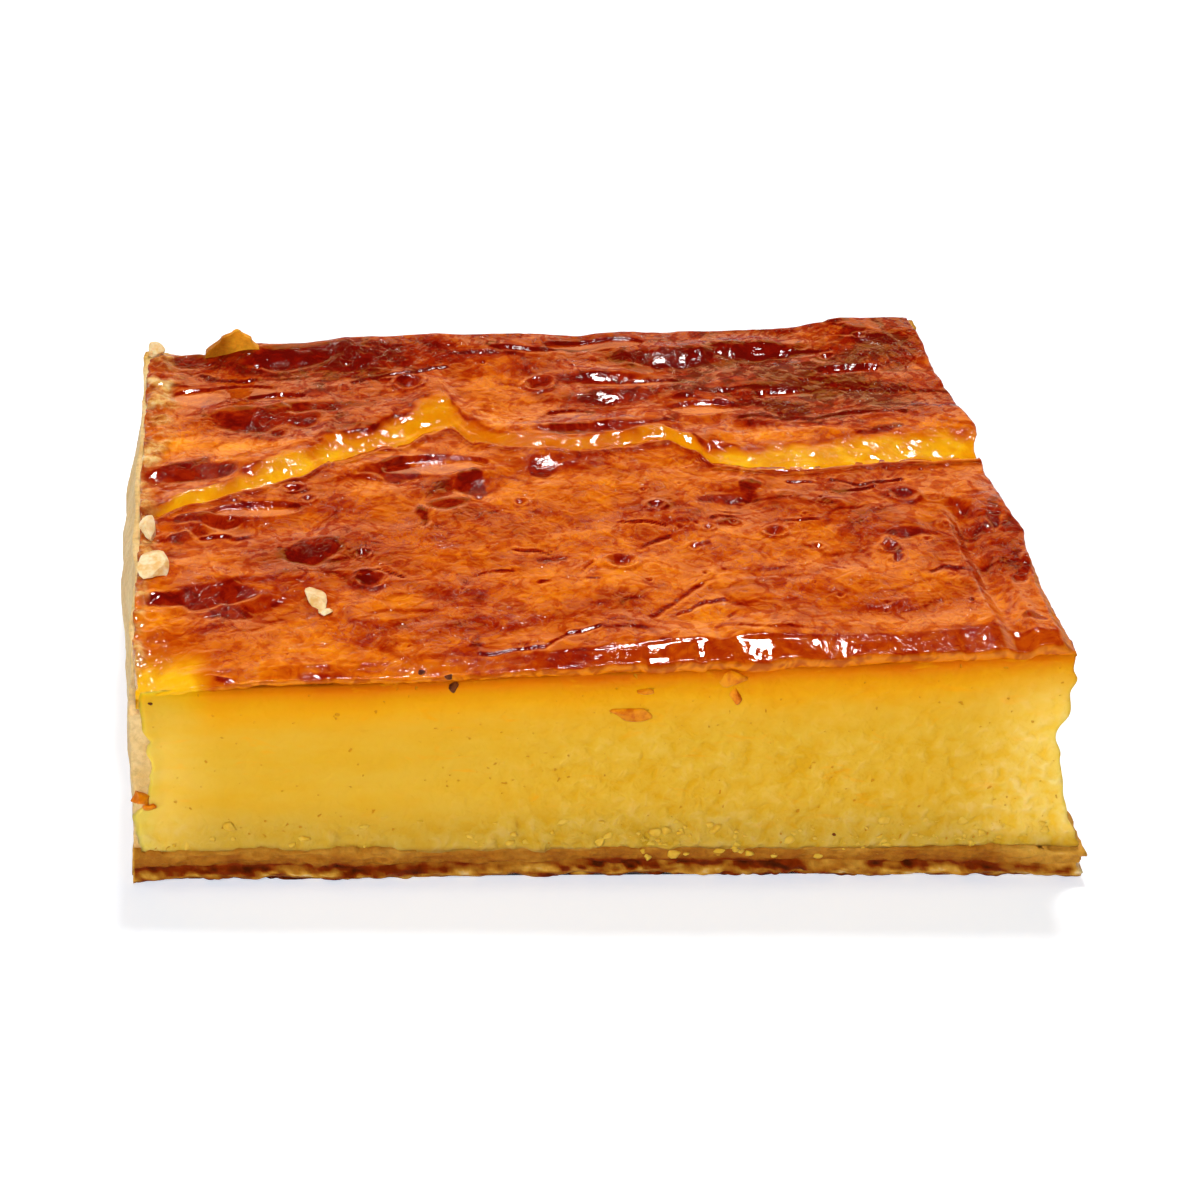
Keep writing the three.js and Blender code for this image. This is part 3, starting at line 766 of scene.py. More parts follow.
# Creases of the skin, each through its turning points and with its half width in mm.
CREASES = [([(3.2, -30.9), (6.4, -27.7), (8.8, -25.2), (12.1, -22.0)], 0.30),
           ([(6, -30.7), (8.5, -28.9), (10.9, -28.5), (12.9, -29.9), (11.6, -31.3)], 0.22),
           ([(-7.4, -21.9), (-5.4, -21.7), (-3.1, -22.4), (-1, -22.4)], 0.18), ([(-3.5, -21.7), (-1.6, -18.5)], 0.2),
           ([(-14, -19.8), (-11.5, -18.9), (-9.7, -19)], 0.18),
           ([(-9, -14.5), (-7, -15), (-5.6, -16)], 0.2), ([(1.4, -10.4), (4.7, -10.4), (6.8, -11.6)], 0.2),
           ([(3.9, -16), (5.5, -14.5), (7.8, -13.3)], 0.25), ([(18.5, -11.2), (21.7, -12.3), (23.9, -12.1)], 0.2),
           ([(22.6, -3), (25, -3.4), (27.1, -6), (31.6, -5.2)], 0.25),
           ([(27.4, -2.9), (30.5, -4.7), (35.4, -3.5)], 0.2),
           ([(12.6, -9.9), (15.8, -10.7), (16.5, -9.3), (13.9, -8.6)], 0.2),
           ([(34, -24.6), (35.8, -23.4), (38, -23.8)], 0.2),
           ([(-15, -35.4), (-11, -35.8), (-8.4, -35.4), (-5.8, -33.2), (-2.4, -32.2)], 0.2),
           ([(-43, -9.5), (-39, -9.8), (-33, -8.2)], 0.25), ([(-27.5, -19), (-24.5, -18), (-21.5, -19.3)], 0.2),
           ([(-40, -1.6), (-36, -3.4), (-33, -3)], 0.2), ([(-9, 34), (-2, 33.2), (5, 34.2), (12, 37)], 0.3),
           ([(12, 22), (20, 20.6), (29, 21)], 0.25), ([(20, 13.5), (27, 12.6), (34, 13.8), (40, 13)], 0.25),
           ([(-26, 27), (-20, 29), (-14, 30)], 0.25), ([(-44, 31.6), (-38, 29.2), (-30, 29.8)], 0.3)]
# How far behind the line of a crease its mark, its fold and the shaded slope between lie, in half widths.
CREASE_MARKS = (0, 2.2, 1.1)
# How much of the custard shows in the tear, and how yellow it is there.
BARE_ALONG = [(-50, 0.84), (-30, 0.84), (-20, 0.78), (-15, 0.7), (-11, 0.42), (8, 0.5), (13, 0.8), (20, 0.9),
              (46, 0.86)]
# The front lip of the skin: how far it stands above the level, falls to the cut, and reaches back.
LIP_CROWN = [(-50, 0), (-6, 0.1), (0, 0.4), (6, 0.6), (30, 0.55), (40, 0.4), (46, 0.2)]
LIP_DROP = [(-50, 0.2), (-42, 0.35), (-38, 0.45), (-12, 0.45), (-4, 0.46), (1, 0.52), (1.9, 0.98), (3.7, 0.98),
            (5, 0.74), (6.4, 0.74), (6.8, 1.0), (7.5, 1.0), (8.1, 0.74), (10.4, 0.74), (11.4, 1.04), (14.2, 1.04),
            (15.4, 0.72),
            (17.6, 0.7), (18.6, 0.93), (21.8, 0.92), (23, 0.66), (33.6, 0.8), (34.6, 1.12), (36.4, 1.1), (37.4, 0.8),
            (41, 0.5), (46, 0.3)]
LIP_REACH = [(-50, 2.0), (-38, 2.4), (-14, 2.6), (-4, 2.8), (2, 3.2), (12, 3.4), (20, 3.0), (28, 2.9), (34, 3.7),
             (38, 3.9), (42, 2.6), (46, 2.0)]
# How wide the crusty rim shows at the left, along the depth of the slice.
CRUST_WIDTH = [(-40, 0), (-32, 1.2), (-12, 1.8), (5, 1.6), (10, 3.0), (38, 4.2)]
# How far the skin ends short of the right cut, along the depth of the slice.
SKIN_SHORT = [(-40, 1.6), (-30, 1.3), (-21, 0.5), (-16, -0.3), (-11, 0.5), (-3, 0.5), (3, 0.2), (8, -0.8),
              (14, -0.1), (24, 0.4), (30, 0.4), (38, 0.9)]


def spread(x, y, entry):
    """How near a place is to the middle of a patch: 1 there, and 0 well outside its reach."""
    return np.exp(-((x - entry[0]) / entry[2]) ** 2 - ((y - entry[1]) / entry[3]) ** 2)


def swirled(x, y):
    return (x + 2.2 * ripple(x, y, 1, 7, 51) + 0.7 * ripple(x, y, 1, 2.4, 56),
            y + 1.8 * ripple(x, y, 2, 7, 52) + 0.6 * ripple(x, y, 2, 2.4, 57))


def fades(x, y, layer, period, low, high):
    """A share from 0 to 1 that lets a kind of mark come and go over the skin."""
    return smoothstep(ripple(x, y, layer, period, 59), low, high)


def pool_cover(pools, shore_x, shore_y, y, broken, shore, lean):
    """Where a pool of a list lies, from 0 to 1 over its shore, and how high its leaning surface is there."""
    cover = 0.0 * y
    level = 0.0 * y
    for pool in pools:
        share = smoothstep(spread(shore_x, shore_y, pool) + broken, *shore)
        level = np.where(share > cover, lean * (y - pool[1]), level)
        cover = np.maximum(cover, share)
    return cover, level


def pooled_share(x, y):
    """Where glaze lies in a pool that mirrors the panel, and how high it lies there."""
    return pool_cover(POOLS, x, y, y, 0.06 * ripple(x, y, 4, 2.2, 68), (0.34, 0.42), POOL_LEAN)


def dark_share(x, y):
    """Where a dark pool lies, over a sharp and ragged shore, and its height there: it leans to the front."""
    shore_x = x + 2.6 * crumble(x, y, 5, 5.5, 66)
    shore_y = y + 1.7 * crumble(x, y, 6, 5.5, 66)
    return pool_cover(DARK_POOLS, shore_x, shore_y, y, 0.22 * ripple(x * 0.7, y, 7, 2.4, 79), (0.34, 0.56), DARK_LEAN)


def creased(x, y):
    """How near each place is to a crease, to the raised fold on its far side, and to the slope between, which is
    painted darker as shade.
    """
    waved_x = x + 1.0 * crumble(x, y, 7, 3.6, 71)
    waved_y = y + 1.0 * crumble(x, y, 8, 3.6, 71)
    marks = [0.0 * x, 0.0 * x, 0.0 * x]
    for points, half in CREASES:
        for (x0, y0), (x1, y1) in zip(points, points[1:]):
            share = np.clip(((waved_x - x0) * (x1 - x0) + (waved_y - y0) * (y1 - y0))
                            / ((x1 - x0) ** 2 + (y1 - y0) ** 2), 0, 1)
            off_x = waved_x - x0 - share * (x1 - x0)
            off_y = waved_y - y0 - share * (y1 - y0)
            for index, behind in enumerate(CREASE_MARKS):
                near = np.exp(-(off_x ** 2 + (off_y - behind * half) ** 2) / half ** 2)
                marks[index] = np.maximum(marks[index], near)
    fading = smoothstep(ripple(x, y, 9, 4.5, 72), -0.7, 0.1)
    return [mark * fading for mark in marks]


def skin_folds(x, y):
    """Steps of the skin, small and large, with how near each place is to the edge of one, where the skin is painted
    darker as shade.
    """
    swirl_x, swirl_y = swirled(x, y)
    wide = ripple(swirl_x * 0.8, swirl_y, 3, 5.2, 58)
    fine = ripple(swirl_x * 0.8, swirl_y, 8, 2.5, 65)
    wide_share = fades(x, y, 4, 8, -0.3, 0.4)
    fine_share = fades(x, y, 9, 6, -0.3, 0.4) + wrinkled_share(x, y)
    steps = 0.13 * wide_share * smoothstep(wide, -0.12, 0.12) + 0.07 * fine_share * smoothstep(fine, -0.2, 0.2)
    edges = wide_share * np.exp(-(wide / 0.10) ** 2) + 0.6 * fine_share * np.exp(-(fine / 0.16) ** 2)
    return steps, edges


def scattered_pinholes():
    """The small burst bubbles between the blisters, at fixed chance places: x, y, radius."""
    chance = np.random.default_rng(17)
    holes = []
    while len(holes) < PINHOLES:
        x, y = chance.uniform(-44, 44), chance.uniform(-34, 35)
        share = 0.35 + 0.65 * (x > 0) * (y < 0)
        if chance.random() < share:
            holes.append((x, y, 0.22 + 0.4 * chance.random() ** 2))
    return holes


PINHOLE_PLACES = scattered_pinholes()


def blistered(x, y):
    """Burst blisters: the relief of a raised ring around a shallow pit, and how far into a pit each place is, measured
    towards its far side, which is painted dark as shade.
    """
    relief = np.zeros(len(x))
    pitted = np.zeros(len(x))
    for centre_x, centre_y, radius in BLISTERS + PINHOLE_PLACES:
        near = (np.abs(x - centre_x) < 3 * radius) & (np.abs(y - centre_y) < 3 * radius)
        reach = np.hypot(x[near] - centre_x, (y[near] - centre_y) * 1.15) / radius
        reach = reach * (1 + 0.22 * ripple(x[near], y[near], 0, radius * 1.3, 67))
        hole = 1 - smoothstep(reach, 0.3, 0.8)
        relief[near] += radius * (0.13 * np.exp(-((reach - 1.05) / 0.22) ** 2) - 0.27 * hole)
        far_side = np.hypot(x[near] - centre_x, (y[near] - centre_y) * 1.15 - 0.35 * radius) / radius
        pitted[near] = np.maximum(pitted[near], 1 - smoothstep(far_side, 0.35, 0.8))
    return relief, pitted


def wrinkled_share(x, y):
    """How closely the skin wrinkled, from 0 to 1."""
    share = 0.35 * smoothstep(ripple(x * 0.7, y, 7, 11, 60), -0.2, 0.6)
    return np.clip(share + 0.9 * spread(x, y, (26, 22, 20, 12)) - 0.2 * spread(x, y, (8, -26, 20, 7)), 0, 1)


def glaze_relief(x, y):
    """Wrinkles, slopes and pools of the glazed top."""
    swirl_x, swirl_y = swirled(x, y)
    wrinkled = wrinkled_share(x, y)
    relief = (0.19 * ripple(swirl_x, swirl_y, 0, 8.5, 53) + skin_folds(x, y)[0]
              + (0.07 + 0.17 * wrinkled) * ripple(swirl_x * 0.6, swirl_y, 0, 3.2, 54)
              + (0.024 + 0.035 * wrinkled) * ripple(swirl_x * 0.8, swirl_y, 0, 1.6, 55))
    crease, fold, _ = creased(x, y)
    relief = relief - 0.14 * crease + 0.10 * fold
    pooled, level = pooled_share(x, y)
    for slope in GLAZE_SLOPES:
        relief = relief + slope[4] * (y - slope[1]) / slope[3] * spread(x, y, slope)
    beads = 0.22 * np.cos((x + 0.6 * ripple(x, y, 3, 4, 69)) * 1.45) * spread(x, y, (20, 31, 13, 3))
    dark, leaning = dark_share(x, y)
    relief = mix(relief + beads, 0.5 * relief + leaning, dark * (1 - wrinkled))
    return mix(relief, level - 0.15, pooled) + blistered(x, y)[0] * (1 - pooled)


def from_front(x, y):
    return y - FRONT_Y - skew_at(x)


def roll_down(x, y):
    """How far the front lip of the skin falls below its crest."""
    reach = along(LIP_REACH, x) * (1 + 0.10 * crumble(x, 0, 0, 7, 75))
    down = np.clip(1 - (from_front(x, y) - 0.2) / (reach - 0.2), 0, 1)
    crown = along(LIP_CROWN, x) * np.exp(-(np.maximum(from_front(x, y) - reach, 0) / 3.5) ** 2)
    return 0.85 * along(LIP_DROP, x) * down - crown, down


def skin_z(x, y):
    behind = y - tear_lip(x)
    bank = tear_bank(x)
    on_bank = np.clip(behind / bank, 0, 1)
    sunk = 0.55 * along(TEAR_DEPTH, x) * (1 - smoothstep(on_bank, 0.0, 0.9)) * (behind > 0)
    along_bank = x + 0.6 * behind
    large_fold = mix(0.5, 0.3, smoothstep(x, -10, 12)) * ripple(along_bank * 0.5, behind * 0.6, 2, 2.2, 80)
    folds = (0.16 * ripple(along_bank * 0.4, behind, 0, 1.8, 81) + 0.12 * ripple(along_bank * 0.8, behind, 0, 1.2, 82)
             + large_fold * smoothstep(on_bank, 0.3, 0.7))
    curled = 0.18 * smoothstep(behind, -CURLED_EDGE, 0) * (behind < 0.01)
    raised = along(BANK_CREST, x) * smoothstep(on_bank, 0.2, 1) * (1 - smoothstep(behind - bank, 0, 6))
    torn_corner = 1.1 * (1 - smoothstep(x - LEFT_X, 1, 9)) * (1 - smoothstep(y - FRONT_Y, 2, 14))
    groove = 0.9 * (1 - smoothstep(y, -13, -8)) * (1 - smoothstep(np.abs(x - GROOVE_X) / GROOVE_HALF, 0.1, 1))
    bare = smoothstep(behind, -0.5, 0.2) * (1 - smoothstep(on_bank, 0.75, 1))
    fall, down = roll_down(x, y)
    on_lip = smoothstep(down, 0.0, 0.15)
    smooth_side = smoothstep(x, *SMOOTH_LIP_X)
    squiggles = 0.08 * ripple(x, y, 9, 1.4, 76) + 0.02 * ripple(x, y, 9, 1.1, 77)
    lip_waves = mix(squiggles, 0.03 * ripple(x, y, 9, 1.1, 76) + 0.03 * ripple(x, y, 9, 3, 77), smooth_side)
    relief = mix(glaze_relief(x, y) * (1 - 0.92 * (on_lip * smooth_side)), folds, bare) + on_lip * lip_waves
    z = level_z(x, y) + relief + curled + raised - sunk - torn_corner - groove - fall
    return np.minimum(z, TOP_Z)


def bare_share(x, y):
    """Where the bare custard of the tear shows, from 0 to 1."""
    behind = y - tear_lip(x)
    edge = behind / tear_bank(x) + 0.30 * crumble(x * 0.6, y, 0, 3, 83)
    torn = along(BARE_ALONG, x) * smoothstep(behind, -0.4, 0.1) * (1 - smoothstep(edge, 0.55, 1.1))
    corner = (1 - smoothstep(x - LEFT_X + 1.5 * crumble(x, y, 0, 5, 84), 5, 10)) * (1 - smoothstep(y, -38, -28))
    return np.maximum(torn, 1.15 * corner)


# How browned the skin is, with painted shade added: darker where the skin leans forward, along the edges of its steps,
# on the slope behind each crease and on the far side of each blister pit.
def browned_and_shade_share(x, y):
    baked = 0.57 + 0.10 * smoothstep(y, 4, 20)
    for patch in BROWNING:
        baked = baked + patch[4] * spread(x, y, patch)
    swirl_x = x + 2.5 * ripple(x, y, 5, 7, 61)
    swirl_y = y + 2.5 * ripple(x, y, 6, 7, 62)
    # Painted shade: the skin is drawn darker where it leans towards the front.
    leaning = (skin_z(x, y + 0.25) - skin_z(x, y - 0.25)) / 0.5
    baked = (baked + 0.20 * crumble(swirl_x, swirl_y, 0, 8, 63) + 0.07 * crumble(swirl_x, swirl_y, 0, 2.2, 64)
             + 0.14 * skin_folds(x, y)[1] + 0.30 * creased(x, y)[2] + 0.6 * np.clip(leaning, -0.12, 0.30))
    baked = np.maximum(baked, (0.84 + 0.06 * ripple(x, y, 2, 3, 70)) * dark_share(x, y)[0])
    on_lip = smoothstep(roll_down(x, y)[1], 0.0, 0.12) * smoothstep(x, -6, 2)
    baked = mix(baked, 0.66 + 0.05 * ripple(x, y, 3, 4, 78), on_lip)
    # Painted shade: the far side of each blister pit is drawn dark.
    return np.minimum(np.maximum(baked, 0.78 * blistered(x, y)[1]), 0.95)


def crusty_share(x, y):
    """Where the pastry rim shows through the skin along the left side."""
    width = along(CRUST_WIDTH, y) * (1 + 0.5 * crumble(y, 0, 0, 3, 85))
    patchy = smoothstep(crumble(x, y, 0, 3.2, 95), -0.45, 0.15)
    return patchy * (1 - smoothstep(x - LEFT_X, 0.7 * width, width + 0.6))


def right_short(y):
    return along(SKIN_SHORT, y) + 0.25 * crumble(y, 0, 0, 2.4, 86)


def make_sheet(name, front_edge, back_edge, counts, in_front):
    """One sheet of skin between two lines across the slice. Its underside is flat, inside the custard."""
    sheet, (right, back, up) = cut_block(name, (LEFT_X, FRONT_Y, 22), (CUSTARD_RIGHT_X, BACK_Y, 28), counts)
    nominal_x = mix(LEFT_X + 0.4, CUSTARD_RIGHT_X, right)
    eased = back - 0.06 * np.sin(2 * np.pi * back)
    y = mix(front_edge(nominal_x), back_edge(nominal_x), eased)
    left_edge = LEFT_X + 0.3 + 0.35 * crumble(y, 0, 0, 1.8, 87) + 0.5 * (1 - smoothstep(from_front(-50, y), 2, 6))
    right_edge = CUSTARD_RIGHT_X - right_short(y)
    x = mix(left_edge, right_edge, right)
    near_rim = 1 - smoothstep(x - LEFT_X, 1.5, 4.5)
    top = skin_z(x, y) + near_rim * (0.5 * crumble(x, y, 0, 2.3, 88) + 0.4 * crusty_share(x, y))
    bottom = mix(HEIGHT_LEFT, HEIGHT_RIGHT, (nominal_x - LEFT_X) / (CUSTARD_RIGHT_X - LEFT_X)) - SHEET_FLOOR
    at_right, at_front, at_back = right == 1, back == 0, back == 1
    rim = np.where(at_right, top - 1.6 + 0.3 * crumble(y, 0, 0, 2, 89), bottom)
    out = (1 - up) * (CUSTARD_RIGHT_X + 0.15 - x) + 0.35 * np.sin(np.pi * up) * crumble(y, up * 2, 0, 1.2, 90)
    shifted_x = np.where(at_right & (up < 1), x + out, x)
    if in_front:
        band = mix(1.0, 1.8, smoothstep(x, -14, 4)) + 0.35 * crumble(x, 0, 0, 2.2, 91)
        rim = np.where(at_front, top - band, rim)
        recess = 0.1 * (1 - smoothstep(x, -28, -12)) + 0.6 * (1 - up) ** 3
        face = FRONT_Y + skew_at(x) - 0.06 + recess
        rough = 0.20 * up * crumble(x, up * band, 0, 1.3, 92)
        y = np.where(at_front, np.where(up < 1, face - rough, y), y)
        y = np.where(at_back, y + LIP_OVERHANG * up - 0.8 * (1 - up) + 0.25 * crumble(x, 1, 0, 1.2, 93), y)
    top = top + 0.22 * at_front * crumble(x, 0, 2, 0.9, 94)
    z = mix(rim, top, up)
    z = np.where((at_front | at_right) & (up == 0) & (back < 1), rim, z)
    place_vertices(sheet, shifted_x, y, z)
    give_values(sheet, "browned_and_shade", browned_and_shade_share(x, y))
    give_values(sheet, "wrinkled", wrinkled_share(x, y))
    smooth_lip = smoothstep(roll_down(x, y)[1], 0.0, 0.15) * smoothstep(x, *SMOOTH_LIP_X)
    give_values(sheet, "calm", np.maximum(np.maximum(pooled_share(x, y)[0], smooth_lip), 0.7 * dark_share(x, y)[0]))
    give_values(sheet, "thin_glaze", creased(x, y)[2])
    give_values(sheet, "bare", bare_share(x, y) * (y < -20) if in_front else bare_share(x, y))
    give_values(sheet, "crusty", crusty_share(x, y))
    give_values(sheet, "down_the_cut", (1 - up) * (at_front | at_right))
    merge_faces(sheet, [lambda centres, normals: normals[:, 2] < -0.995])
    return sheet


# Colours of the skin from hardly browned to burnt, which also draw its painted shade, and down the height of its cut
# edge.
BROWNED_AND_SHADE_COLORS = [(0.0, (0.95, 0.42, 0.002)), (0.2, (0.86, 0.27, 0.001)), (0.36, (0.70, 0.16, 0.001)),
                  (0.50, (0.54, 0.085, 0.001)), (0.60, (0.42, 0.042, 0.0006)), (0.72, (0.31, 0.013, 0.0003)),
                  (0.85, (0.19, 0.003, 0.0002)), (1.0, (0.06, 0.001, 0.0005))]
EDGE_COLORS = [(0.0, (0.52, 0.09, 0.001)), (0.35, (0.66, 0.17, 0.002)), (0.8, (0.74, 0.16, 0.0005)),
               (1.0, (0.78, 0.18, 0.0005))]
EDGE_SHADES = [(0.45, (0.75, 0.6, 0.6)), (0.65, (1.15, 1.35, 2.5))]
# Colours of the custard in the tear, by how bare it is, and of the crusty rim at the left.
BARE_COLORS = [(0.25, (0.56, 0.09, 0.0005)), (0.55, (0.68, 0.19, 0.0006)), (0.82, (0.78, 0.29, 0.001)),
               (1.0, (0.92, 0.47, 0.006))]
CRUST_COLORS = [(0.36, (0.26, 0.035, 0.003)), (0.48, (0.52, 0.18, 0.03)), (0.58, (0.72, 0.42, 0.13)),
                (0.68, (0.85, 0.62, 0.30))]


def wrinkle_lines(tree, place, scale, width):
    """Thin curled lines, where a distorted noise passes through its middle value."""
    off = math_node(tree, "ABSOLUTE", math_node(tree, "SUBTRACT", noise_node(tree, place, scale, 1.5, 0.5, 2.2), 0.5))
    coming = soft_step(tree, noise_node(tree, place, 160, 1), 0.44, 0.56)
    return multiply(tree, soft_step(tree, off, width, 0.0), coming)


def skin_finish():
    """Browned skin under a coat of glaze, which lies thinner and rougher wherever the skin isn't calm. Its colour also
    carries painted shade: from the sheets' values, and darker along wrinkle lines and in small dents.
    """
    material, tree, shader = new_finish("glazed_skin")
    place = place_node(tree)
    calm, wrinkled, bare, down_the_cut = [
        value_node(tree, name) for name in ("calm", "wrinkled", "bare", "down_the_cut")]
    curls = noise_node(tree, place, 420, 1.0, 0.5, 1.6)
    film = multiply_add(tree, noise_node(tree, place, 1100, 1.0, 0.5, 1.0), 0.12, curls)
    clouds = soft_step(tree, noise_node(tree, place, 260, 3, 0.6, 3.0), 0.46, 0.54)
    shaded_wrinkles = math_node(tree, "MAXIMUM", wrinkle_lines(tree, place, 230, 0.016),
                         multiply(tree, wrinkle_lines(tree, place, 520, 0.020), 0.7))
    uneven = math_node(tree, "SUBTRACT", 1.0, calm)
    lying = multiply_add(tree, wrinkled, -0.05, noise_node(tree, place, 300, 3, 0.6, 2.4))
    glazed = math_node(tree, "MAXIMUM", soft_step(tree, lying, 0.44, 0.48), calm)
    glazed = multiply(tree, glazed, multiply_add(tree, value_node(tree, "thin_glaze"), -0.8, 1.0))
    dots = multiply_add(tree, wrinkled, 0.05, noise_node(tree, place, 680, 2, 0.5, 0.8))
    shaded_dots = multiply(tree, soft_step(tree, dots, 0.66, 0.70), uneven)
    marbled = multiply_add(tree, clouds, 0.2, multiply(tree, film, 0.9))
    browned_and_shade = multiply_add(tree, math_node(tree, "SUBTRACT", 0.60, marbled), 0.34, value_node(tree, "browned_and_shade"))
    # Painted shade: the colour darkens along the wrinkle lines and in the small dents; it lightens a little where glaze
    # lies.
    for mark, more in ((shaded_wrinkles, 0.10), (glazed, -0.05), (shaded_dots, 0.07)):
        browned_and_shade = multiply_add(tree, mark, more, browned_and_shade)
    color = ramp_node(tree, math_node(tree, "MINIMUM", browned_and_shade, 0.92), BROWNED_AND_SHADE_COLORS)
    edge = mix_colors(tree, 1.0, ramp_node(tree, down_the_cut, EDGE_COLORS), ramp_node(tree, film, EDGE_SHADES),
                      "MULTIPLY")
    on_edge = math_node(tree, "MINIMUM", multiply(tree, down_the_cut, 8.0), 1.0)
    color = mix_colors(tree, on_edge, color, edge)
    drawn = math_node(tree, "SUBTRACT", noise_node(tree, place, 350, 3, 0.5, 0.5), 0.5)
    exposed = ramp_node(tree, multiply_add(tree, drawn, 0.6, bare), BARE_COLORS)
    color = mix_colors(tree, soft_step(tree, bare, 0.08, 0.35), color, exposed)
    crust = ramp_node(tree, noise_node(tree, place, 500, 4, 0.6), CRUST_COLORS)
    color = mix_colors(tree, value_node(tree, "crusty"), color, crust)
    coat = math_node(tree, "MAXIMUM", multiply_add(tree, glazed, 0.72, 0.28), soft_step(tree, bare, 0.1, 0.4))
    relief = multiply_add(tree, shaded_dots, -0.35, multiply_add(tree, clouds, 0.15, film))
    relief = multiply_add(tree, shaded_wrinkles, -0.7, relief)
    set_inputs(tree, shader, surface_inputs(0.5, 0.0, 0.15, (1.2, 0.4, 0.1)))
    set_inputs(tree, shader, {
        "Base Color": color, "Normal": bump_node(tree, 0.6, 0.0002, film),
        "Coat Weight": multiply(tree, coat, multiply_add(tree, on_edge, -0.6, 1.0)), "Coat Roughness": 0.02,
        "Coat Normal": bump_node(tree, multiply_add(tree, uneven, 0.85, 0.15), 0.00008, relief)})
    return material


def front_edge(x):
    return FRONT_Y + skew_at(x) + 0.12 + 0.22 * crumble(x, 0, 0, 1.6, 72)


def back_edge(x):
    return BACK_Y - 0.3 + 0.3 * crumble(x, 0, 0, 4, 73)


glazed_skin = skin_finish()
for sheet in (make_sheet("skin_front", front_edge, tear_lip, (400, 184, 6), True),
              make_sheet("skin_back", lambda x: tear_lip(x) - 1.3, back_edge, (400, 150, 6), False)):
    sheet.data.materials.append(glazed_skin)
    shade_smooth(sheet)
    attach(sheet, "root")
    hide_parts("custard")


# ---------------------------------------------------------------------------------------------
# The crumbs and curds
# Loose bits that the knife and the tin left on the slice: pale flakes of pastry on the skin and its
# rim, burnt specks along the cut, and soft curds of custard along its foot.
# ---------------------------------------------------------------------------------------------
# Pale flakes on the skin: x, y, length, depth, height, turn.
FLAKES = [(-31.2, -23.6, 2.1, 3.4, 1.0, 0.4), (-30.5, -26.0, 1.3, 1.0, 0.7, 0.1), (-48.9, -7.8, 1.7, 4.2, 1.6, 0.0),
          (-48.4, -15.3, 2.8, 4.4, 1.9, 0.1), (-49.3, 37.0, 2.0, 2.0, 2.0, 0.0)]
# Burnt specks on the cut face: x, z, width, height.
SPECKS = [(-17.9, 23.7, 0.8, 1.15), (-18.6, 25.0, 0.9, 0.5), (-21.2, 25.6, 0.6, 0.6), (-48.2, 21.9, 0.5, 0.5),
          (23.0, 5.4, 0.5, 0.5)]
# The middle of the burnt speck at the left side.
SIDE_SPECK = (-51.0, -5.4, 12.3)
# Golden lumps of skin and custard on the cut face: x, z, width, height, depth.
GOLDEN_LUMPS = [(0.45, 20.55, 3.5, 1.6, 0.5), (10.2, 24.6, 2.6, 1.9, 0.9), (10.9, 22.9, 1.2, 2.0, 0.8),
                (-49.4, 10.3, 1.9, 1.5, 1.2), (-48.4, 9.1, 1.1, 1.0, 1.0), (1.8, 23.4, 2.6, 0.7, 0.4)]
CURDS = 150


def add_lump(name, middle, size, turn, subdivisions=2):
    """A broken crumb at a plan place, in mm: a ball cut flat on several sides and roughened."""
    bpy.ops.object.select_all(action="DESELECT")
    bpy.ops.mesh.primitive_ico_sphere_add(subdivisions=subdivisions, radius=0.5, location=(0, 0, 0))
    lump = bpy.context.object
    lump.name = name
    places = read_vectors(lump.data.vertices, "co").astype(float)
    breaks = np.random.default_rng(int(abs(middle[0]) * 100 + abs(middle[2]) * 10))
    for _ in range(9):
        side = breaks.normal(size=3)
        side = side / np.linalg.norm(side)
        places -= np.outer(np.maximum(places @ side - breaks.uniform(0.20, 0.34), 0), side)
    places = places * np.array(size) * 1.45
    across, deep = places[:, 0].copy(), places[:, 1].copy()
    places[:, 0] = across * math.cos(turn) - deep * math.sin(turn)
    places[:, 1] = across * math.sin(turn) + deep * math.cos(turn)
    places += np.array(middle)
    for axis in range(3):
        places[:, axis] += 0.07 * size[axis] * crumble(*places.T, max(size) * 0.4, 96 + axis)
    place_vertices(lump, *places.T)
    return lump


def finish_lumps(lumps, name, material, node, rounded=True):
    joined = join_as(name, lumps)
    joined.data.materials.append(material)
    if rounded:
        shade_smooth(joined)
    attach(joined, "root")
    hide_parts(node)


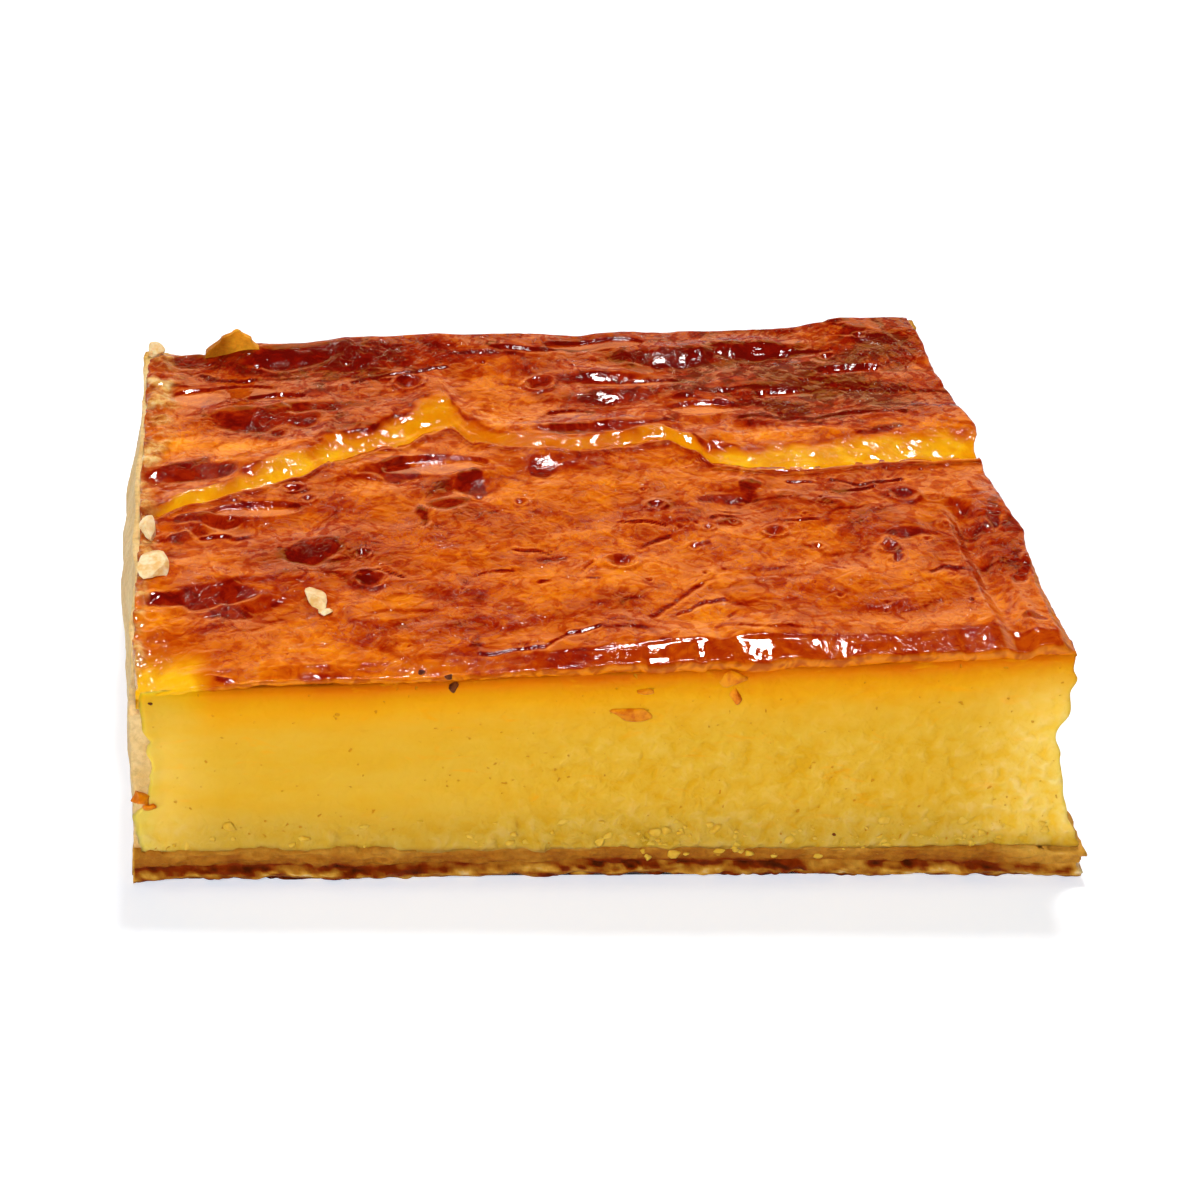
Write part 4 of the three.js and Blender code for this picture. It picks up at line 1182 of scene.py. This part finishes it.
def crumb_finish(name, light, dark, roughness):
    material, tree, shader = new_finish(name)
    grain = noise_node(tree, place_node(tree), 900, 3, 0.6)
    set_inputs(tree, shader, surface_inputs(roughness, 0.2, 0.3, (1.0, 0.6, 0.3), 0.0008))
    set_inputs(tree, shader, {"Base Color": ramp_node(tree, grain, [(0.35, dark), (0.6, light)])})
    return material


def cut_y(x):
    return FRONT_Y + float(skew_at(x))


flakes = []
for x, y, length, depth, tall, turn in FLAKES:
    top = float(skin_z(np.array([x]), np.array([float(y)]))[0])
    flakes.append(add_lump("flake", (x, y, min(top + 0.25 * tall, TOP_Z - 0.6 * tall)), (length, depth, tall), turn, 3))
finish_lumps(flakes, "pastry_flakes", crumb_finish("pale_flake", (0.93, 0.78, 0.50), (0.80, 0.50, 0.18), 0.35),
             "pastry", rounded=False)

specks = [add_lump("speck", (x, cut_y(x) + 0.02, z), (width, 0.5, height), 0) for x, z, width, height in SPECKS]
specks.append(add_lump("speck", SIDE_SPECK, (1.6, 2.2, 2.6), 0))
finish_lumps(specks, "burnt_specks", crumb_finish("burnt_crust", (0.16, 0.035, 0.006), (0.05, 0.008, 0.002), 0.4),
             "pastry")

golden = [add_lump("golden_lump", (x, cut_y(x) + 0.1, z), (width, depth, height), 0, 3)
          for x, z, width, height, depth in GOLDEN_LUMPS]
finish_lumps(golden, "golden_lumps", crumb_finish("golden_custard", (0.84, 0.30, 0.004), (0.62, 0.13, 0.001), 0.3),
             "custard")

chance = np.random.default_rng(5)
curds = []
for index in range(CURDS):
    x = chance.uniform(-46, 46) if index % 3 == 0 else chance.uniform(2, 46)
    size = 0.35 + 0.75 * chance.random() ** 2
    z = 4.3 + 3.4 * chance.random() ** 2 if index % 5 else chance.uniform(2.2, 4)
    place = (x, cut_y(x) - float(along(FRONT_FACE, z)) + 0.2, z)
    curds.append(add_lump("curd", place, (size * 1.3, 0.6, size * 0.9), chance.uniform(-0.3, 0.3), 2))
finish_lumps(curds, "custard_curds", crumb_finish("pale_curd", (0.80, 0.50, 0.065), (0.72, 0.42, 0.035), 0.45),
             "custard")
